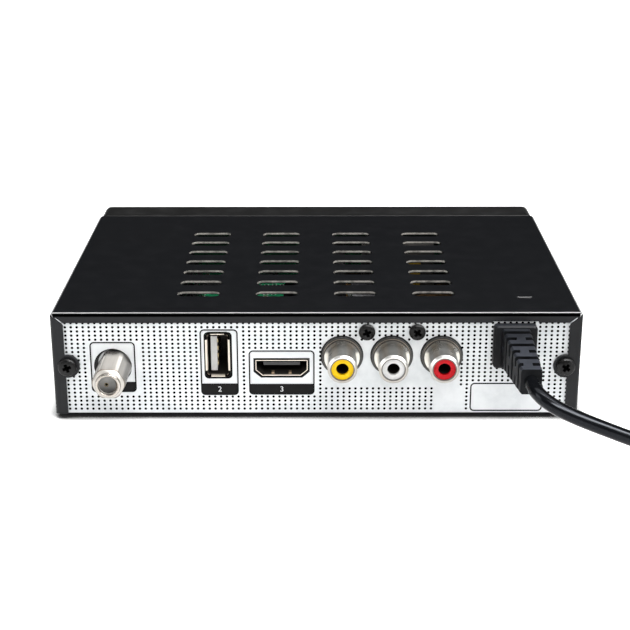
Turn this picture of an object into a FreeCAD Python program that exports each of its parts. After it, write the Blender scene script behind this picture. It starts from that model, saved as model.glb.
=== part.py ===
import FreeCAD, Part
import math
import os
import re

import Sketcher

# Satellite television receiver: a folded steel case on a tray, with a moulded front panel.
# The frame has +X to the right of the front panel, +Y out of the rear panel and +Z up.
# Z is 0 on the surface that the feet stand on. All lengths are millimetres.

Vector = FreeCAD.Vector
Rotation = FreeCAD.Rotation

sizes = {
    # Case
    "case_width": 150.0,
    "case_height": 30.5,
    "cover_depth": 98.5,
    "steel": 0.8,
    "bend_radius": 1.1,
    "side_gap": 0.15,
    "side_rim": 3.6,
    "top_rim": 2.7,
    "mitre_gap": 0.55,
    "ear_radius": 3.4,
    "ear_inset": 4.3,
    "ear_height": 14.6,
    "relief_notch": 0.4,
    "lance_width": 3.7,
    "lance_slot": 0.9,
    "lance_inset": 14.7,
    "lance_depth": 13.7,
    "foot_height": 1.5,
    "foot_radius": 5.0,
    "foot_taper": 0.5,
    "foot_inset": 13.0,
    # Ventilation slots in the cover and the tray
    "slot_length": 12.5,
    "slot_width": 4.2,
    "slot_pitch": 22.8,
    "row_pitch": 9.88,
    "slot_columns": 4,
    "slot_rows": 7,
    "first_row": 17.0,
    "tray_slot_width": 3.0,
    "tray_slot_pitch": 7.5,
    "tray_slots": 4,
    "tray_slot_side": 44.0,
    "tray_slot_depth": 62.0,
    # Boards' posts, from the boards' edges and from the case's rear face
    "main_post_inset": 5.0,
    "main_post_rear": 40.0,
    "main_post_tuner": 51.0,
    "power_post_inset": 3.0,
    "power_post_set": 4.0,
    # Tray
    "tray_flange": 6.0,
    "standoff_height": 8.9,
    "standoff_radius": 3.0,
    "standoff_bore": 1.35,
    "lid_gap": 0.2,
    # Front panel
    "bezel_step": 0.2,
    "bezel_depth": 14.0,
    "bezel_wall": 2.0,
    "bezel_face": 2.4,
    "bezel_corner": 1.8,
    "bezel_brow": 2.5,
    "seam": 0.4,
    "tab_width": 9.0,
    "tab_length": 5.0,
    "tab_thickness": 1.6,
    "tab_side": 46.0,
    "boss_radius": 2.6,
    "post_radius": 1.0,
    "post_fit": 0.1,
    "post_length": 2.6,
    # Display window
    "window_left_inset": 18.5,
    "window_right_inset": 54.5,
    "window_margin": 7.75,
    "window_rim": 2.0,
    "window_flange": 1.2,
    "window_fit": 0.15,
    # Front board and what it carries
    "front_board_set": 10.4,
    "front_board_inset": 9.0,
    "front_board_low": 5.2,
    "front_board_gap": 3.3,
    "post_inset": 4.0,
    "post_rise": 3.0,
    "display_width": 30.2,
    "display_height": 10.2,
    "display_depth": 6.4,
    "display_side": 16.0,
    "infrared_width": 5.6,
    "infrared_height": 6.4,
    "infrared_depth": 3.2,
    "infrared_lens": 1.9,
    "infrared_inset": 4.0,
    "led_radius": 1.5,
    "led_length": 4.6,
    "led_inset": 14.0,
    "switch_width": 6.0,
    "switch_depth": 3.5,
    "plunger_radius": 1.75,
    "plunger_length": 1.5,
    # Buttons
    "button_width": 9.5,
    "button_height": 5.0,
    "button_pitch": 12.0,
    "button_inset": 36.0,
    "button_proud": 0.8,
    "button_travel": 0.6,
    "button_fit": 0.25,
    "button_rim": 1.2,
    "button_flange": 1.2,
    "button_play": 0.2,
    "stem_radius": 1.5,
    # Boards
    "board": 1.6,
    "board_back": 1.0,
    "board_inset": 4.0,
    "board_front_gap": 4.5,
    "main_left": -43.0,
    "main_strip": 45.0,
    "main_block": 11.0,
    "power_right": 6.0,
    "power_back": 49.0,
    "board_hole": 1.6,
    "screw_head": 2.8,
    "screw_head_height": 1.9,
    "screw_shank": 1.25,
    "screw_length": 8.0,
    # Aerial connector and tuner
    "aerial_inset": 17.1,
    "aerial_rise": 14.35,
    "aerial_hole": 5.4,
    "aerial_radius": 4.65,
    "aerial_flat": 4.35,
    "aerial_reach": 13.8,
    "aerial_collar": 1.0,
    "aerial_collar_radius": 4.35,
    "aerial_lip": 0.6,
    "aerial_recess": 2.62,
    "aerial_recess_depth": 1.2,
    "aerial_bore": 0.6,
    "aerial_pin": 0.42,
    "tuner_width": 20.0,
    "tuner_depth": 44.0,
    "tuner_height": 11.6,
    # Universal serial bus port, standing on edge
    "serial_side": 28.0,
    "serial_width": 6.7,
    "serial_height": 13.0,
    "serial_depth": 14.0,
    "serial_gap_side": 0.4,
    "serial_gap_high": 0.6,
    "serial_corner": 0.9,
    "serial_clip": 1.1,
    "port_wall": 0.35,
    "serial_tongue": 1.8,
    "serial_tongue_height": 10.4,
    "serial_tongue_offset": 1.0,
    "tongue_recess": 1.4,
    "contact_width": 1.1,
    "contact_thickness": 0.2,
    "contact_pitch": 2.3,
    # Digital video port
    "video_side": 9.9,
    "video_width": 15.1,
    "video_height": 5.1,
    "video_depth": 11.5,
    "video_gap": 0.45,
    "video_chamfer": 2.1,
    "video_chamfer_rise": 1.8,
    "video_tongue": 1.0,
    "video_tongue_width": 10.4,
    "video_tongue_rise": 2.9,
    # Phono jacks
    "jack_side": 21.4,
    "jack_pitch": 14.15,
    "jack_rise": 17.6,
    "jack_reach": 10.0,
    "jack_radius": 4.15,
    "jack_flange": 5.8,
    "jack_step": 5.0,
    "jack_flange_reach": 0.2,
    "jack_step_reach": 1.0,
    "jack_chamfer": 0.5,
    "jack_hole": 6.1,
    "jack_bore": 3.1,
    "jack_bore_depth": 9.0,
    "jack_recess": 0.5,
    "jack_socket": 1.75,
    "jack_sleeve": 0.2,
    "jack_sleeve_recess": 1.0,
    "jack_block_width": 42.6,
    "jack_block_depth": 12.0,
    "jack_screw_drop": 5.7,
    "jack_block_rim": 2.9,
    "panel_screw_head": 2.35,
    "panel_screw_height": 1.3,
    "panel_screw_shank": 1.2,
    "panel_screw_length": 6.0,
    "panel_screw_hole": 1.35,
    "head_edge_share": 0.5,
    "head_crown_share": 0.72,
    # Cover screws
    "cover_screw_head": 2.65,
    "cover_screw_height": 1.6,
    "cover_screw_shank": 1.4,
    "cover_screw_length": 6.0,
    "cover_screw_hole": 1.6,
    # Strain relief
    "relief_inset": 19.0,
    "relief_below_top": 9.5,
    "relief_width": 12.2,
    "relief_height": 12.8,
    "relief_flange": 1.8,
    "relief_corner": 1.2,
    "relief_neck": 1.6,
    "relief_neck_fit": 0.15,
    "relief_clip": 0.9,
    "relief_clip_length": 2.4,
    "relief_base_width": 8.0,
    "relief_base_height": 11.4,
    "relief_end_width": 5.7,
    "relief_end_height": 7.2,
    "relief_reach": 24.5,
    "relief_lean": 1.3,
    "relief_drop": 0.9,
    "relief_slot": 1.5,
    "relief_pitch": 7.1,
    "relief_web": 2.4,
    "relief_round": 0.5,
    # Parts on the main board
    "chip_inset": 21.5,
    "sink_gap": 0.8,
    "chip_width": 22.0,
    "chip_height": 1.8,
    "sink_width": 24.0,
    "sink_base": 2.0,
    "sink_fin": 6.0,
    "sink_fin_width": 1.2,
    "sink_fins": 8,
    "memory_inset": 42.0,
    "memory_length": 10.0,
    "memory_width": 8.0,
    "memory_height": 1.1,
    "memory_gap": 1.6,
    "memory_pitch": 11.0,
    "ribbon_inset": 20.0,
    "ribbon_width": 16.0,
    "ribbon_thickness": 0.7,
    "ribbon_rise": 2.5,
    "header_width": 19.0,
    "header_depth": 4.4,
    "header_height": 6.0,
    "header_setback": 3.6,
    "front_header_drop": 7.0,
    # Parts on the power board
    "mains_header_inset": 11.5,
    "mains_header_set": 5.0,
    "mains_header_width": 9.0,
    "mains_header_length": 7.0,
    "mains_header_height": 8.5,
    "wire_radius": 1.0,
    "wire_pitch": 4.0,
    "fuse_inset": 24.0,
    "fuse_set": 5.0,
    "fuse_radius": 2.6,
    "fuse_length": 20.0,
    "fuse_cap": 2.9,
    "fuse_cap_length": 5.0,
    "choke_inset": 14.0,
    "choke_set": 14.0,
    "choke_width": 13.6,
    "choke_length": 10.0,
    "choke_height": 13.0,
    "bulk_inset": 13.0,
    "bulk_set": 8.5,
    "bulk_radius": 7.5,
    "bulk_height": 15.0,
    "core_shift": 5.5,
    "core_set": 16.0,
    "core_width": 24.0,
    "core_length": 8.0,
    "core_height": 15.0,
    "core_limb": 4.5,
    "bobbin_width": 14.0,
    "bobbin_length": 20.0,
    "winding_gap": 0.15,
    "output_inset": 11.5,
    "output_set": 32.0,
    "output_pitch": 11.0,
    "output_radius": 4.0,
    "output_height": 13.0,
    "supply_inset": 21.0,
    "supply_header_width": 10.0,
    "supply_header_depth": 5.0,
    "supply_header_height": 7.0,
    "supply_set": 4.0,
    "supply_rise": 3.0,
    "supply_width": 8.0,
    "supply_thickness": 1.2,
    # Mains lead
    "cord_radius": 2.0,
    "exit_run": 5.5,
    "wire_lead_in": 9.0,
    "coil_radius": 27.0,
    "coil_width": 12.4,
    "coil_height": 8.4,
    "coil_round": 2.6,
    "coil_away": 93.7,
    "coil_beyond": 5.2,
    "plug_width": 35.0,
    "plug_length": 34.0,
    "plug_height": 13.6,
    "plug_tail_width": 12.0,
    "plug_tail_height": 9.0,
    "plug_shoulder": 12.0,
    "plug_round": 2.0,
    "pin_radius": 2.0,
    "pin_length": 19.0,
    "pin_pitch": 18.6,
}

# Levels and places that several pieces share, each worked out from the sizes.
places = {
    "rear_y": "(cover_depth + bezel_depth + button_proud - aerial_reach) / 2",
    "panel_y": "rear_y - steel",
    "inner_y": "panel_y - steel",
    "cover_front": "rear_y - cover_depth",
    "front_y": "cover_front - bezel_depth",
    "face_back": "front_y + bezel_face",
    "case_top": "foot_height + case_height",
    "tray_top": "foot_height + steel",
    "lance_x": "lance_inset - case_width / 2",
    "bezel_width": "case_width - 2 * bezel_step",
    "board_low": "tray_top + standoff_height",
    "board_top": "board_low + board",
    "board_rear": "inner_y - board_back",
    "front_board_y": "front_y + front_board_set",
    "front_board_z": "foot_height + front_board_low",
    "front_board_height": "case_height - front_board_low - front_board_gap",
    "front_board_width": "bezel_width - 2 * front_board_inset",
    "main_right": "case_width / 2 - board_inset",
    "main_depth": "cover_depth - board_front_gap",
    "main_post_left": "main_left + main_post_inset",
    "main_post_inner": "main_block + main_post_inset",
    "main_post_middle": "main_block - main_post_inset",
    "main_post_right": "main_right - main_post_inset",
    "main_post_front": "main_depth - main_post_inset",
    "power_left": "board_inset - case_width / 2",
    "power_depth": "cover_depth - board_front_gap",
    "power_post_left": "power_left + power_post_inset",
    "power_post_right": "power_right - power_post_set",
    "power_post_rear": "power_back + power_post_set",
    "power_post_front": "power_depth - power_post_set",
    "aerial_x": "case_width / 2 - aerial_inset",
    "aerial_root": "-2 * steel - board_back",
    "aerial_z": "foot_height + aerial_rise",
    "jack_z": "foot_height + jack_rise",
    "jack_screw_z": "case_top - jack_screw_drop",
    "jack_block_y": "inner_y - jack_block_depth",
    "relief_x": "relief_inset - case_width / 2",
    "relief_z": "case_top - relief_below_top",
    "window_left": "window_left_inset - bezel_width / 2",
    "window_width": "bezel_width - window_left_inset - window_right_inset",
    "window_x": "window_left + window_width / 2",
    "window_height": "case_height - 2 * window_margin",
    "window_z": "front_board_z + front_board_height / 2",
    "button_x": "bezel_width / 2 - button_inset",
    "button_z": "window_z",
    "button_back": "face_back + button_play + button_flange",
    "main_front": "rear_y - main_depth",
    "switch_y": "front_board_y - switch_depth - plunger_length",
    "chip_x": "main_right - chip_inset",
    "chip_y": "board_rear - tuner_depth - sink_gap - sink_width / 2",
    "memory_x": "main_right - memory_inset",
    "memory_y": "chip_y - chip_width / 2 - memory_gap - memory_length / 2",
    "core_x": "(power_left + power_right) / 2 + core_shift",
    "core_y": "rear_y - power_depth + core_set",
    "ribbon_x": "main_right - ribbon_inset",
    "exit_x": "relief_x - relief_lean",
    "exit_y": "rear_y + relief_reach",
    "exit_z": "relief_z - relief_drop",
    "coil_x": "exit_x - coil_away",
}

doc = FreeCAD.newDocument("Receiver")
sheet = doc.addObject("Spreadsheet::Sheet", "Sizes")
for row, (name, number) in enumerate(sizes.items(), 1):
    sheet.set(f"A{row}", name)
    sheet.set(f"B{row}", str(number))
    sheet.setAlias(f"B{row}", name)
doc.recompute()

shared = doc.addObject("App::VarSet", "Places")
owner = {name: "Sizes." for name in sizes}


def linked(text):
    """The expression with each plain name traced to the sheet or to the shared places."""
    return re.sub(r"[a-z][a-z_]*", lambda word: owner.get(word.group(), "") + word.group(), str(text))


def bind(item, **expressions):
    for name, text in expressions.items():
        item.setExpression(name, linked(text))


for name, text in places.items():
    shared.addProperty("App::PropertyFloat", name)
    bind(shared, **{name: text})
    owner[name] = "Places."
doc.recompute()


def read(name):
    """A size or a shared place as a number, for shapes made by Part's own functions."""
    return float(getattr(sheet if name in sizes else shared, name))


nodes = []


def node(item, label):
    """Keep the object as the sub-part that its label names."""
    item.Label = label
    nodes.append(item)
    return item


# ---- Part primitives ----

turned = {
    "Z": Rotation(Vector(0, 0, 1), 0),
    "-Z": Rotation(Vector(1, 0, 0), 180),
    "Y": Rotation(Vector(1, 0, 0), -90),
    "-Y": Rotation(Vector(1, 0, 0), 90),
    "X": Rotation(Vector(0, 1, 0), 90),
}


def place(item, x, y, z):
    for axis, text in zip("xyz", (x, y, z)):
        item.setExpression(".Placement.Base." + axis, linked(text))
    return item


def block(name, low, size):
    """A box from its lowest corner."""
    item = doc.addObject("Part::Box", name)
    bind(item, Length=size[0], Width=size[1], Height=size[2])
    return place(item, *low)


def rod(name, radius, length, start, along="Z"):
    item = doc.addObject("Part::Cylinder", name)
    item.Placement.Rotation = turned[along]
    bind(item, Radius=radius, Height=length)
    return place(item, *start)


def fuse(name, *items):
    item = doc.addObject("Part::MultiFuse", name)
    item.Shapes = list(items)
    item.Refine = True
    return item


def cut(name, base, tool):
    item = doc.addObject("Part::Cut", name)
    item.Base = base
    item.Tool = tool
    return item


def group(name, items):
    item = doc.addObject("Part::Compound", name)
    item.Links = list(items)
    return item


# ---- Sketched bodies ----

def new_body(name):
    return doc.addObject("PartDesign::Body", name)


def origin(body, role):
    return next(item for item in body.Origin.OriginFeatures if item.Role == role)


def sketch_at(body, axis, level):
    """A sketch on the body's plane across an axis, at a level on it.

    Across X it is drawn in Y and Z, across Y in X and Z, and across Z in X and Y.
    """
    role, sign = {"X": ("YZ_Plane", ""), "Y": ("XZ_Plane", "-"), "Z": ("XY_Plane", "")}[axis]
    sketch = body.newObject("Sketcher::SketchObject", body.Name + "Sketch")
    sketch.AttachmentSupport = [(origin(body, role), "")]
    sketch.MapMode = "FlatFace"
    sketch.setExpression(".AttachmentOffset.Base.z", linked(f"{sign}({level})"))
    return sketch


def pin_point(sketch, edge, end, x, y):
    """Hold a point of the sketch at two expressions."""
    drawn = sketch.getPoint(edge, end)
    for kind, start, text in (("DistanceX", drawn.x, x), ("DistanceY", drawn.y, y)):
        index = sketch.addConstraint(Sketcher.Constraint(kind, -1, 1, edge, end, start))
        sketch.setExpression(f"Constraints[{index}]", linked(text))


def draw_outline(sketch, points):
    """A closed outline of straight edges through points given as expressions."""
    first = sketch.GeometryCount
    count = len(points)
    for index in range(count):
        after = (index + 1) % count
        ends = [Vector(1 + step, 1 + step * step, 0) for step in (index, after)]
        sketch.addGeometry(Part.LineSegment(*ends), False)
    for index in range(count):
        after = (index + 1) % count
        sketch.addConstraint(Sketcher.Constraint("Coincident", first + index, 2, first + after, 1))
    for index, (x, y) in enumerate(points):
        pin_point(sketch, first + index, 1, x, y)


def draw_frame(sketch, x, y, width, height):
    """A rectangle about its middle."""
    left, right = f"{x} - ({width}) / 2", f"{x} + ({width}) / 2"
    low, high = f"{y} - ({height}) / 2", f"{y} + ({height}) / 2"
    draw_outline(sketch, [(left, low), (right, low), (right, high), (left, high)])


def draw_clipped(sketch, x, y, width, height, clip):
    """A rectangle about its middle with its corners cut off."""
    left, right = f"{x} - ({width}) / 2", f"{x} + ({width}) / 2"
    low, high = f"{y} - ({height}) / 2", f"{y} + ({height}) / 2"
    draw_outline(sketch, [
        (f"{left} + {clip}", low), (f"{right} - {clip}", low), (right, f"{low} + {clip}"),
        (right, f"{high} - {clip}"), (f"{right} - {clip}", high), (f"{left} + {clip}", high),
        (left, f"{high} - {clip}"), (left, f"{low} + {clip}")])


def draw_circle(sketch, x, y, radius):
    edge = sketch.addGeometry(Part.Circle(Vector(1, 1, 0), Vector(0, 0, 1), 1.0), False)
    pin_point(sketch, edge, 3, x, y)
    index = sketch.addConstraint(Sketcher.Constraint("Radius", edge, 1.0))
    sketch.setExpression(f"Constraints[{index}]", linked(radius))


def draw_hexagon(sketch, x, y, flat):
    """Six equal sides, each at the given distance from the middle."""
    reach = f"({flat}) / cos(30)"
    corners = [(f"{x} + {reach} * cos({60 * corner})", f"{y} + {reach} * sin({60 * corner})")
               for corner in range(6)]
    draw_outline(sketch, corners)


def draw_slot(sketch, x, y, length, width):
    """A slot with round ends, its length along the sketch's first axis."""
    arcs = []
    for drawn_x, turn in ((5, -0.5), (2, 0.5)):
        circle = Part.Circle(Vector(drawn_x, 3, 0), Vector(0, 0, 1), 1)
        arcs.append(sketch.addGeometry(Part.ArcOfCircle(circle, turn * math.pi, (turn + 1) * math.pi), False))
    right, left = arcs
    top = sketch.addGeometry(Part.LineSegment(Vector(5, 4, 0), Vector(2, 4, 0)), False)
    low = sketch.addGeometry(Part.LineSegment(Vector(2, 2, 0), Vector(5, 2, 0)), False)
    joins = ((right, 2, top, 1), (top, 2, left, 1), (left, 2, low, 1), (low, 2, right, 1))
    for join in joins:
        sketch.addConstraint(Sketcher.Constraint("Tangent", *join))
    sketch.addConstraint(Sketcher.Constraint("Equal", right, left))
    half = f"(({length}) - ({width})) / 2"
    pin_point(sketch, right, 3, f"{x} + {half}", y)
    pin_point(sketch, left, 3, f"{x} - {half}", y)
    index = sketch.addConstraint(Sketcher.Constraint("Radius", right, 1.0))
    sketch.setExpression(f"Constraints[{index}]", linked(f"({width}) / 2"))


def pad(body, sketch, length, back=False):
    """Grow the sketch along its normal: +X, -Y or +Z, and the other way with back."""
    feature = body.newObject("PartDesign::Pad", body.Name + "Pad")
    feature.Profile = sketch
    bind(feature, Length=length)
    feature.Reversed = back
    body.Tip = feature
    return feature


def pocket(body, sketch, length=None, back=False):
    """Cut the sketch against its normal, or right through both ways where no length is given."""
    before = settled(body)
    feature = body.newObject("PartDesign::Pocket", body.Name + "Pocket")
    feature.Profile = sketch
    if length is None:
        feature.Type = "ThroughAll"
        feature.Midplane = True
    else:
        bind(feature, Length=length)
        feature.Reversed = back
    body.Tip = feature
    if settled(body) > before - 1e-6:
        raise ValueError(feature.Name + " cuts nothing")
    return feature


def settled(body):
    doc.recompute()
    return body.Shape.Volume


def revolve(body, sketch):
    """Turn the sketch round its own second axis."""
    feature = body.newObject("PartDesign::Revolution", body.Name + "Turn")
    feature.Profile = sketch
    feature.ReferenceAxis = (sketch, ["V_Axis"])
    feature.Angle = 360
    body.Tip = feature
    return feature


def repeat(body, feature, axis, length, count):
    pattern = body.newObject("PartDesign::LinearPattern", body.Name + "Pattern")
    pattern.Originals = [feature]
    pattern.Direction = (origin(body, axis + "_Axis"), [""])
    bind(pattern, Length=length, Occurrences=count)
    body.Tip = pattern
    return pattern


def dress(body, kind, radius, wanted):
    """Fillet or chamfer the edges of the body's last feature for which wanted(edge) holds."""
    doc.recompute()
    last = body.Tip
    names = [f"Edge{index}" for index, edge in enumerate(last.Shape.Edges, 1) if wanted(edge)]
    feature = body.newObject("PartDesign::" + kind, body.Name + kind)
    feature.Base = (last, names)
    bind(feature, **{"Radius" if kind == "Fillet" else "Size": radius})
    body.Tip = feature
    return feature


def runs_along(edge, axis):
    box = edge.BoundBox
    spans = {"X": box.XLength, "Y": box.YLength, "Z": box.ZLength}
    return spans.pop(axis) > 0.1 and max(spans.values()) < 1e-4


def middle(edge):
    return edge.BoundBox.Center


def near(value, target):
    return abs(value - target) < 1e-3


def turned_body(name, profile, x, y, z, axis="Y"):
    """A body turned about its own Y or Z axis, from pairs of radius and height, set at a place."""
    body = new_body(name)
    plane = {"Y": "Z", "Z": "Y"}[axis]
    sketch = sketch_at(body, plane, "0")
    draw_outline(sketch, profile)
    revolve(body, sketch)
    return place(body, x, y, z)


# ---- Cover: one folded sheet with a rim at the back ----

def make_cover():
    body = new_body("Cover")
    outer = sketch_at(body, "Y", "rear_y")
    draw_frame(outer, "0", "foot_height + case_height / 2", "case_width", "case_height")
    pad(body, outer, "cover_depth")
    top, rear, side = read("case_top"), read("rear_y"), read("case_width") / 2

    def folded(edge):
        place_of = middle(edge)
        on_side = near(abs(place_of.x), side)
        on_rear = near(place_of.y, rear)
        return (runs_along(edge, "Y") and near(place_of.z, top) or on_rear and near(place_of.z, top)
                or on_side and on_rear)

    dress(body, "Fillet", "bend_radius", folded)
    inside = sketch_at(body, "Y", "cover_front")
    draw_frame(inside, "0", "(case_top - steel) / 2", "case_width - 2 * steel", "case_top - steel")
    pocket(body, inside, "cover_depth - steel")
    opening = sketch_at(body, "Y", "rear_y")
    draw_frame(opening, "0", "(case_top - top_rim) / 2", "case_width - 2 * side_rim", "case_top - top_rim")
    pocket(body, opening, "2 * steel", back=True)
    ears = sketch_at(body, "Y", "rear_y")
    for side_sign in ("", "-"):
        draw_circle(ears, f"{side_sign}(case_width / 2 - ear_inset)", "foot_height + ear_height",
                    "ear_radius")
    pad(body, ears, "steel")
    holes = sketch_at(body, "Y", "rear_y")
    for side_sign in ("", "-"):
        draw_circle(holes, f"{side_sign}(case_width / 2 - ear_inset)", "foot_height + ear_height",
                    "cover_screw_hole")
    pocket(body, holes, "steel", back=True)
    notch = sketch_at(body, "Y", "rear_y")
    draw_frame(notch, "relief_x", "case_top - top_rim", "relief_width + 2 * relief_notch",
               "2 * relief_notch")
    pocket(body, notch, "steel", back=True)
    mitres = sketch_at(body, "Y", "rear_y")
    for side_sign in ("", "-"):
        draw_outline(mitres, [
            (f"{side_sign}(case_width / 2 - side_rim - steel)", "case_top - top_rim - steel"),
            (f"{side_sign}(case_width / 2 - side_rim - steel - mitre_gap)", "case_top - top_rim - steel"),
            (f"{side_sign}(case_width / 2 - bend_radius - mitre_gap)", "case_top - bend_radius"),
            (f"{side_sign}(case_width / 2 - bend_radius)", "case_top - bend_radius")])
    pocket(body, mitres, "steel", back=True)
    lance = sketch_at(body, "Z", "case_top")
    draw_slot(lance, "lance_x", "rear_y - lance_depth", "lance_width", "lance_slot")
    pocket(body, lance, "steel")
    slot = sketch_at(body, "Z", "case_top")
    draw_slot(slot, "-slot_pitch * (slot_columns - 1) / 2", "rear_y - first_row", "slot_length", "slot_width")
    vents = pocket(body, slot, "steel")
    pattern = repeat(body, vents, "X", "slot_pitch * (slot_columns - 1)", "slot_columns")
    pattern.Direction2 = (origin(body, "Y_Axis"), [""])
    pattern.Reversed2 = True
    bind(pattern, Length2="row_pitch * (slot_rows - 1)", Occurrences2="slot_rows")
    return node(body, "top_cover")


# ---- Tray: floor, rear panel and side flanges, with six-sided posts for the boards ----

main_posts = [("main_post_left", "main_post_rear"), ("main_post_middle", "main_post_rear"),
              ("main_post_right", "main_post_tuner"), ("main_post_inner", "main_post_front"),
              ("main_post_right", "main_post_front")]
power_posts = [(x, depth) for x in ("power_post_left", "power_post_right")
               for depth in ("power_post_rear", "power_post_front")]


def make_tray():
    body = new_body("Tray")
    width = "(case_width - 2 * (steel + side_gap))"
    floor = sketch_at(body, "Z", "foot_height")
    draw_outline(floor, [(f"-{width} / 2", "cover_front"), (f"{width} / 2", "cover_front"),
                         (f"{width} / 2", "panel_y"), (f"-{width} / 2", "panel_y")])
    pad(body, floor, "steel")
    wall = sketch_at(body, "Y", "panel_y")
    draw_outline(wall, [(f"-{width} / 2", "foot_height"), (f"{width} / 2", "foot_height"),
                        (f"{width} / 2", "case_top - steel - lid_gap"),
                        (f"-{width} / 2", "case_top - steel - lid_gap")])
    pad(body, wall, "steel")
    for name, low in (("left", f"-{width} / 2"), ("right", f"{width} / 2 - steel")):
        flange = sketch_at(body, "Z", "foot_height")
        draw_outline(flange, [(low, "cover_front"), (f"{low} + steel", "cover_front"),
                              (f"{low} + steel", "inner_y"), (low, "inner_y")])
        pad(body, flange, "steel + tray_flange")
    posts = sketch_at(body, "Z", "tray_top")
    for x, depth in main_posts + power_posts:
        draw_hexagon(posts, x, f"rear_y - {depth}", "standoff_radius")
    pad(body, posts, "standoff_height")
    bores = sketch_at(body, "Z", "board_low")
    for x, depth in main_posts + power_posts:
        draw_circle(bores, x, f"rear_y - {depth}", "standoff_bore")
    pocket(body, bores, "standoff_height")

    ports = sketch_at(body, "Y", "panel_y")
    draw_circle(ports, "aerial_x", "aerial_z", "aerial_hole")
    draw_clipped(ports, "serial_side", "board_top + serial_height / 2",
                 "serial_width + 2 * serial_gap_side", "serial_height + 2 * serial_gap_high", "serial_clip")
    video_outline(ports, "(0 - video_gap)")
    for index in (-1, 0, 1):
        draw_circle(ports, f"-jack_side + {index} * jack_pitch", "jack_z", "jack_hole")
    for side_sign in ("-", "+"):
        draw_circle(ports, f"-jack_side {side_sign} jack_pitch / 2", "jack_screw_z",
                    "panel_screw_hole")
        draw_circle(ports, f"0 {side_sign} (case_width / 2 - ear_inset)", "foot_height + ear_height",
                    "cover_screw_hole")
    draw_frame(ports, "relief_x", "relief_z", "relief_width - 2 * relief_neck + 2 * relief_neck_fit",
               "relief_height - 2 * relief_neck + 2 * relief_neck_fit")
    pocket(body, ports, "steel", back=True)
    slot = sketch_at(body, "Z", "tray_top")
    draw_slot(slot, "-tray_slot_side", "rear_y - tray_slot_depth", "slot_length", "tray_slot_width")
    vents = pocket(body, slot, "steel")
    repeat(body, vents, "X", "tray_slot_side", "2")
    pattern = body.Tip
    pattern.Direction2 = (origin(body, "Y_Axis"), [""])
    pattern.Reversed2 = True
    bind(pattern, Length2="tray_slot_pitch * (tray_slots - 1)", Occurrences2="tray_slots")
    return node(body, "chassis")


def make_feet():
    for x_name, x_sign in (("left", "-"), ("right", "")):
        for y_name, y_text in (("front", "cover_front + foot_inset"), ("rear", "rear_y - foot_inset")):
            foot = doc.addObject("Part::Cone", "Foot")
            bind(foot, Radius1="foot_radius - foot_taper", Radius2="foot_radius", Height="foot_height")
            place(foot, f"{x_sign}(case_width / 2 - foot_inset)", y_text, "0")
            node(foot, f"foot_{y_name}_{x_name}")


# ---- Front panel: a moulded shell with openings, bosses and tabs ----

board_corners = [(side, level) for side in ("-", "+") for level in ("low", "high")]


def post_place(side, level):
    x = f"0 {side} (front_board_width / 2 - post_inset)"
    rise = {"low": "post_rise", "high": "front_board_height - post_rise"}[level]
    return x, f"front_board_z + {rise}"


def make_front_panel():
    body = new_body("FrontPanel")
    outer = sketch_at(body, "Y", "cover_front")
    draw_frame(outer, "0", "foot_height + case_height / 2", "bezel_width", "case_height")
    pad(body, outer, "bezel_depth")
    front, side = read("front_y"), read("bezel_width") / 2
    dress(body, "Fillet", "bezel_corner",
          lambda edge: runs_along(edge, "Z") and near(middle(edge).y, front))
    dress(body, "Fillet", "bezel_brow",
          lambda edge: near(edge.BoundBox.YMin, front) and edge.BoundBox.ZLength < 1e-4)
    back = read("cover_front")
    dress(body, "Chamfer", "seam",
          lambda edge: near(edge.BoundBox.YMin, back) and near(edge.BoundBox.YMax, back))
    hollow = sketch_at(body, "Y", "cover_front")
    draw_frame(hollow, "0", "foot_height + case_height / 2", "bezel_width - 2 * bezel_wall",
               "case_height - 2 * bezel_wall")
    pocket(body, hollow, "bezel_depth - bezel_face", back=True)
    bosses = sketch_at(body, "Y", "face_back")
    for corner in board_corners:
        draw_circle(bosses, *post_place(*corner), "boss_radius")
    pad(body, bosses, "front_board_y - face_back", back=True)
    posts = sketch_at(body, "Y", "front_board_y")
    for corner in board_corners:
        draw_circle(posts, *post_place(*corner), "post_radius")
    pad(body, posts, "post_length", back=True)
    tabs = sketch_at(body, "Z", "tray_top")
    for x in ("-tab_side", "0", "tab_side"):
        draw_outline(tabs, [(f"{x} - tab_width / 2", "cover_front - bezel_wall"),
                            (f"{x} + tab_width / 2", "cover_front - bezel_wall"),
                            (f"{x} + tab_width / 2", "cover_front + tab_length"),
                            (f"{x} - tab_width / 2", "cover_front + tab_length")])
    pad(body, tabs, "tab_thickness")
    openings = sketch_at(body, "Y", "front_y")
    draw_frame(openings, "window_x", "window_z", "window_width", "window_height")
    for index in range(3):
        draw_slot(openings, f"button_x + {index} * button_pitch", "button_z",
                  "button_width + 2 * button_fit", "button_height + 2 * button_fit")
    pocket(body, openings, "bezel_face")
    return node(body, "front_panel")


def make_window():
    face = block("WindowFace", ("window_x - window_width / 2 + window_fit", "front_y",
                                "window_z - window_height / 2 + window_fit"),
                 ("window_width - 2 * window_fit", "bezel_face", "window_height - 2 * window_fit"))
    flange = block("WindowFlange", ("window_x - window_width / 2 - window_rim", "face_back",
                                    "window_z - window_height / 2 - window_rim"),
                   ("window_width + 2 * window_rim", "window_flange", "window_height + 2 * window_rim"))
    node(fuse("Window", face, flange), "display_window")


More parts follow.
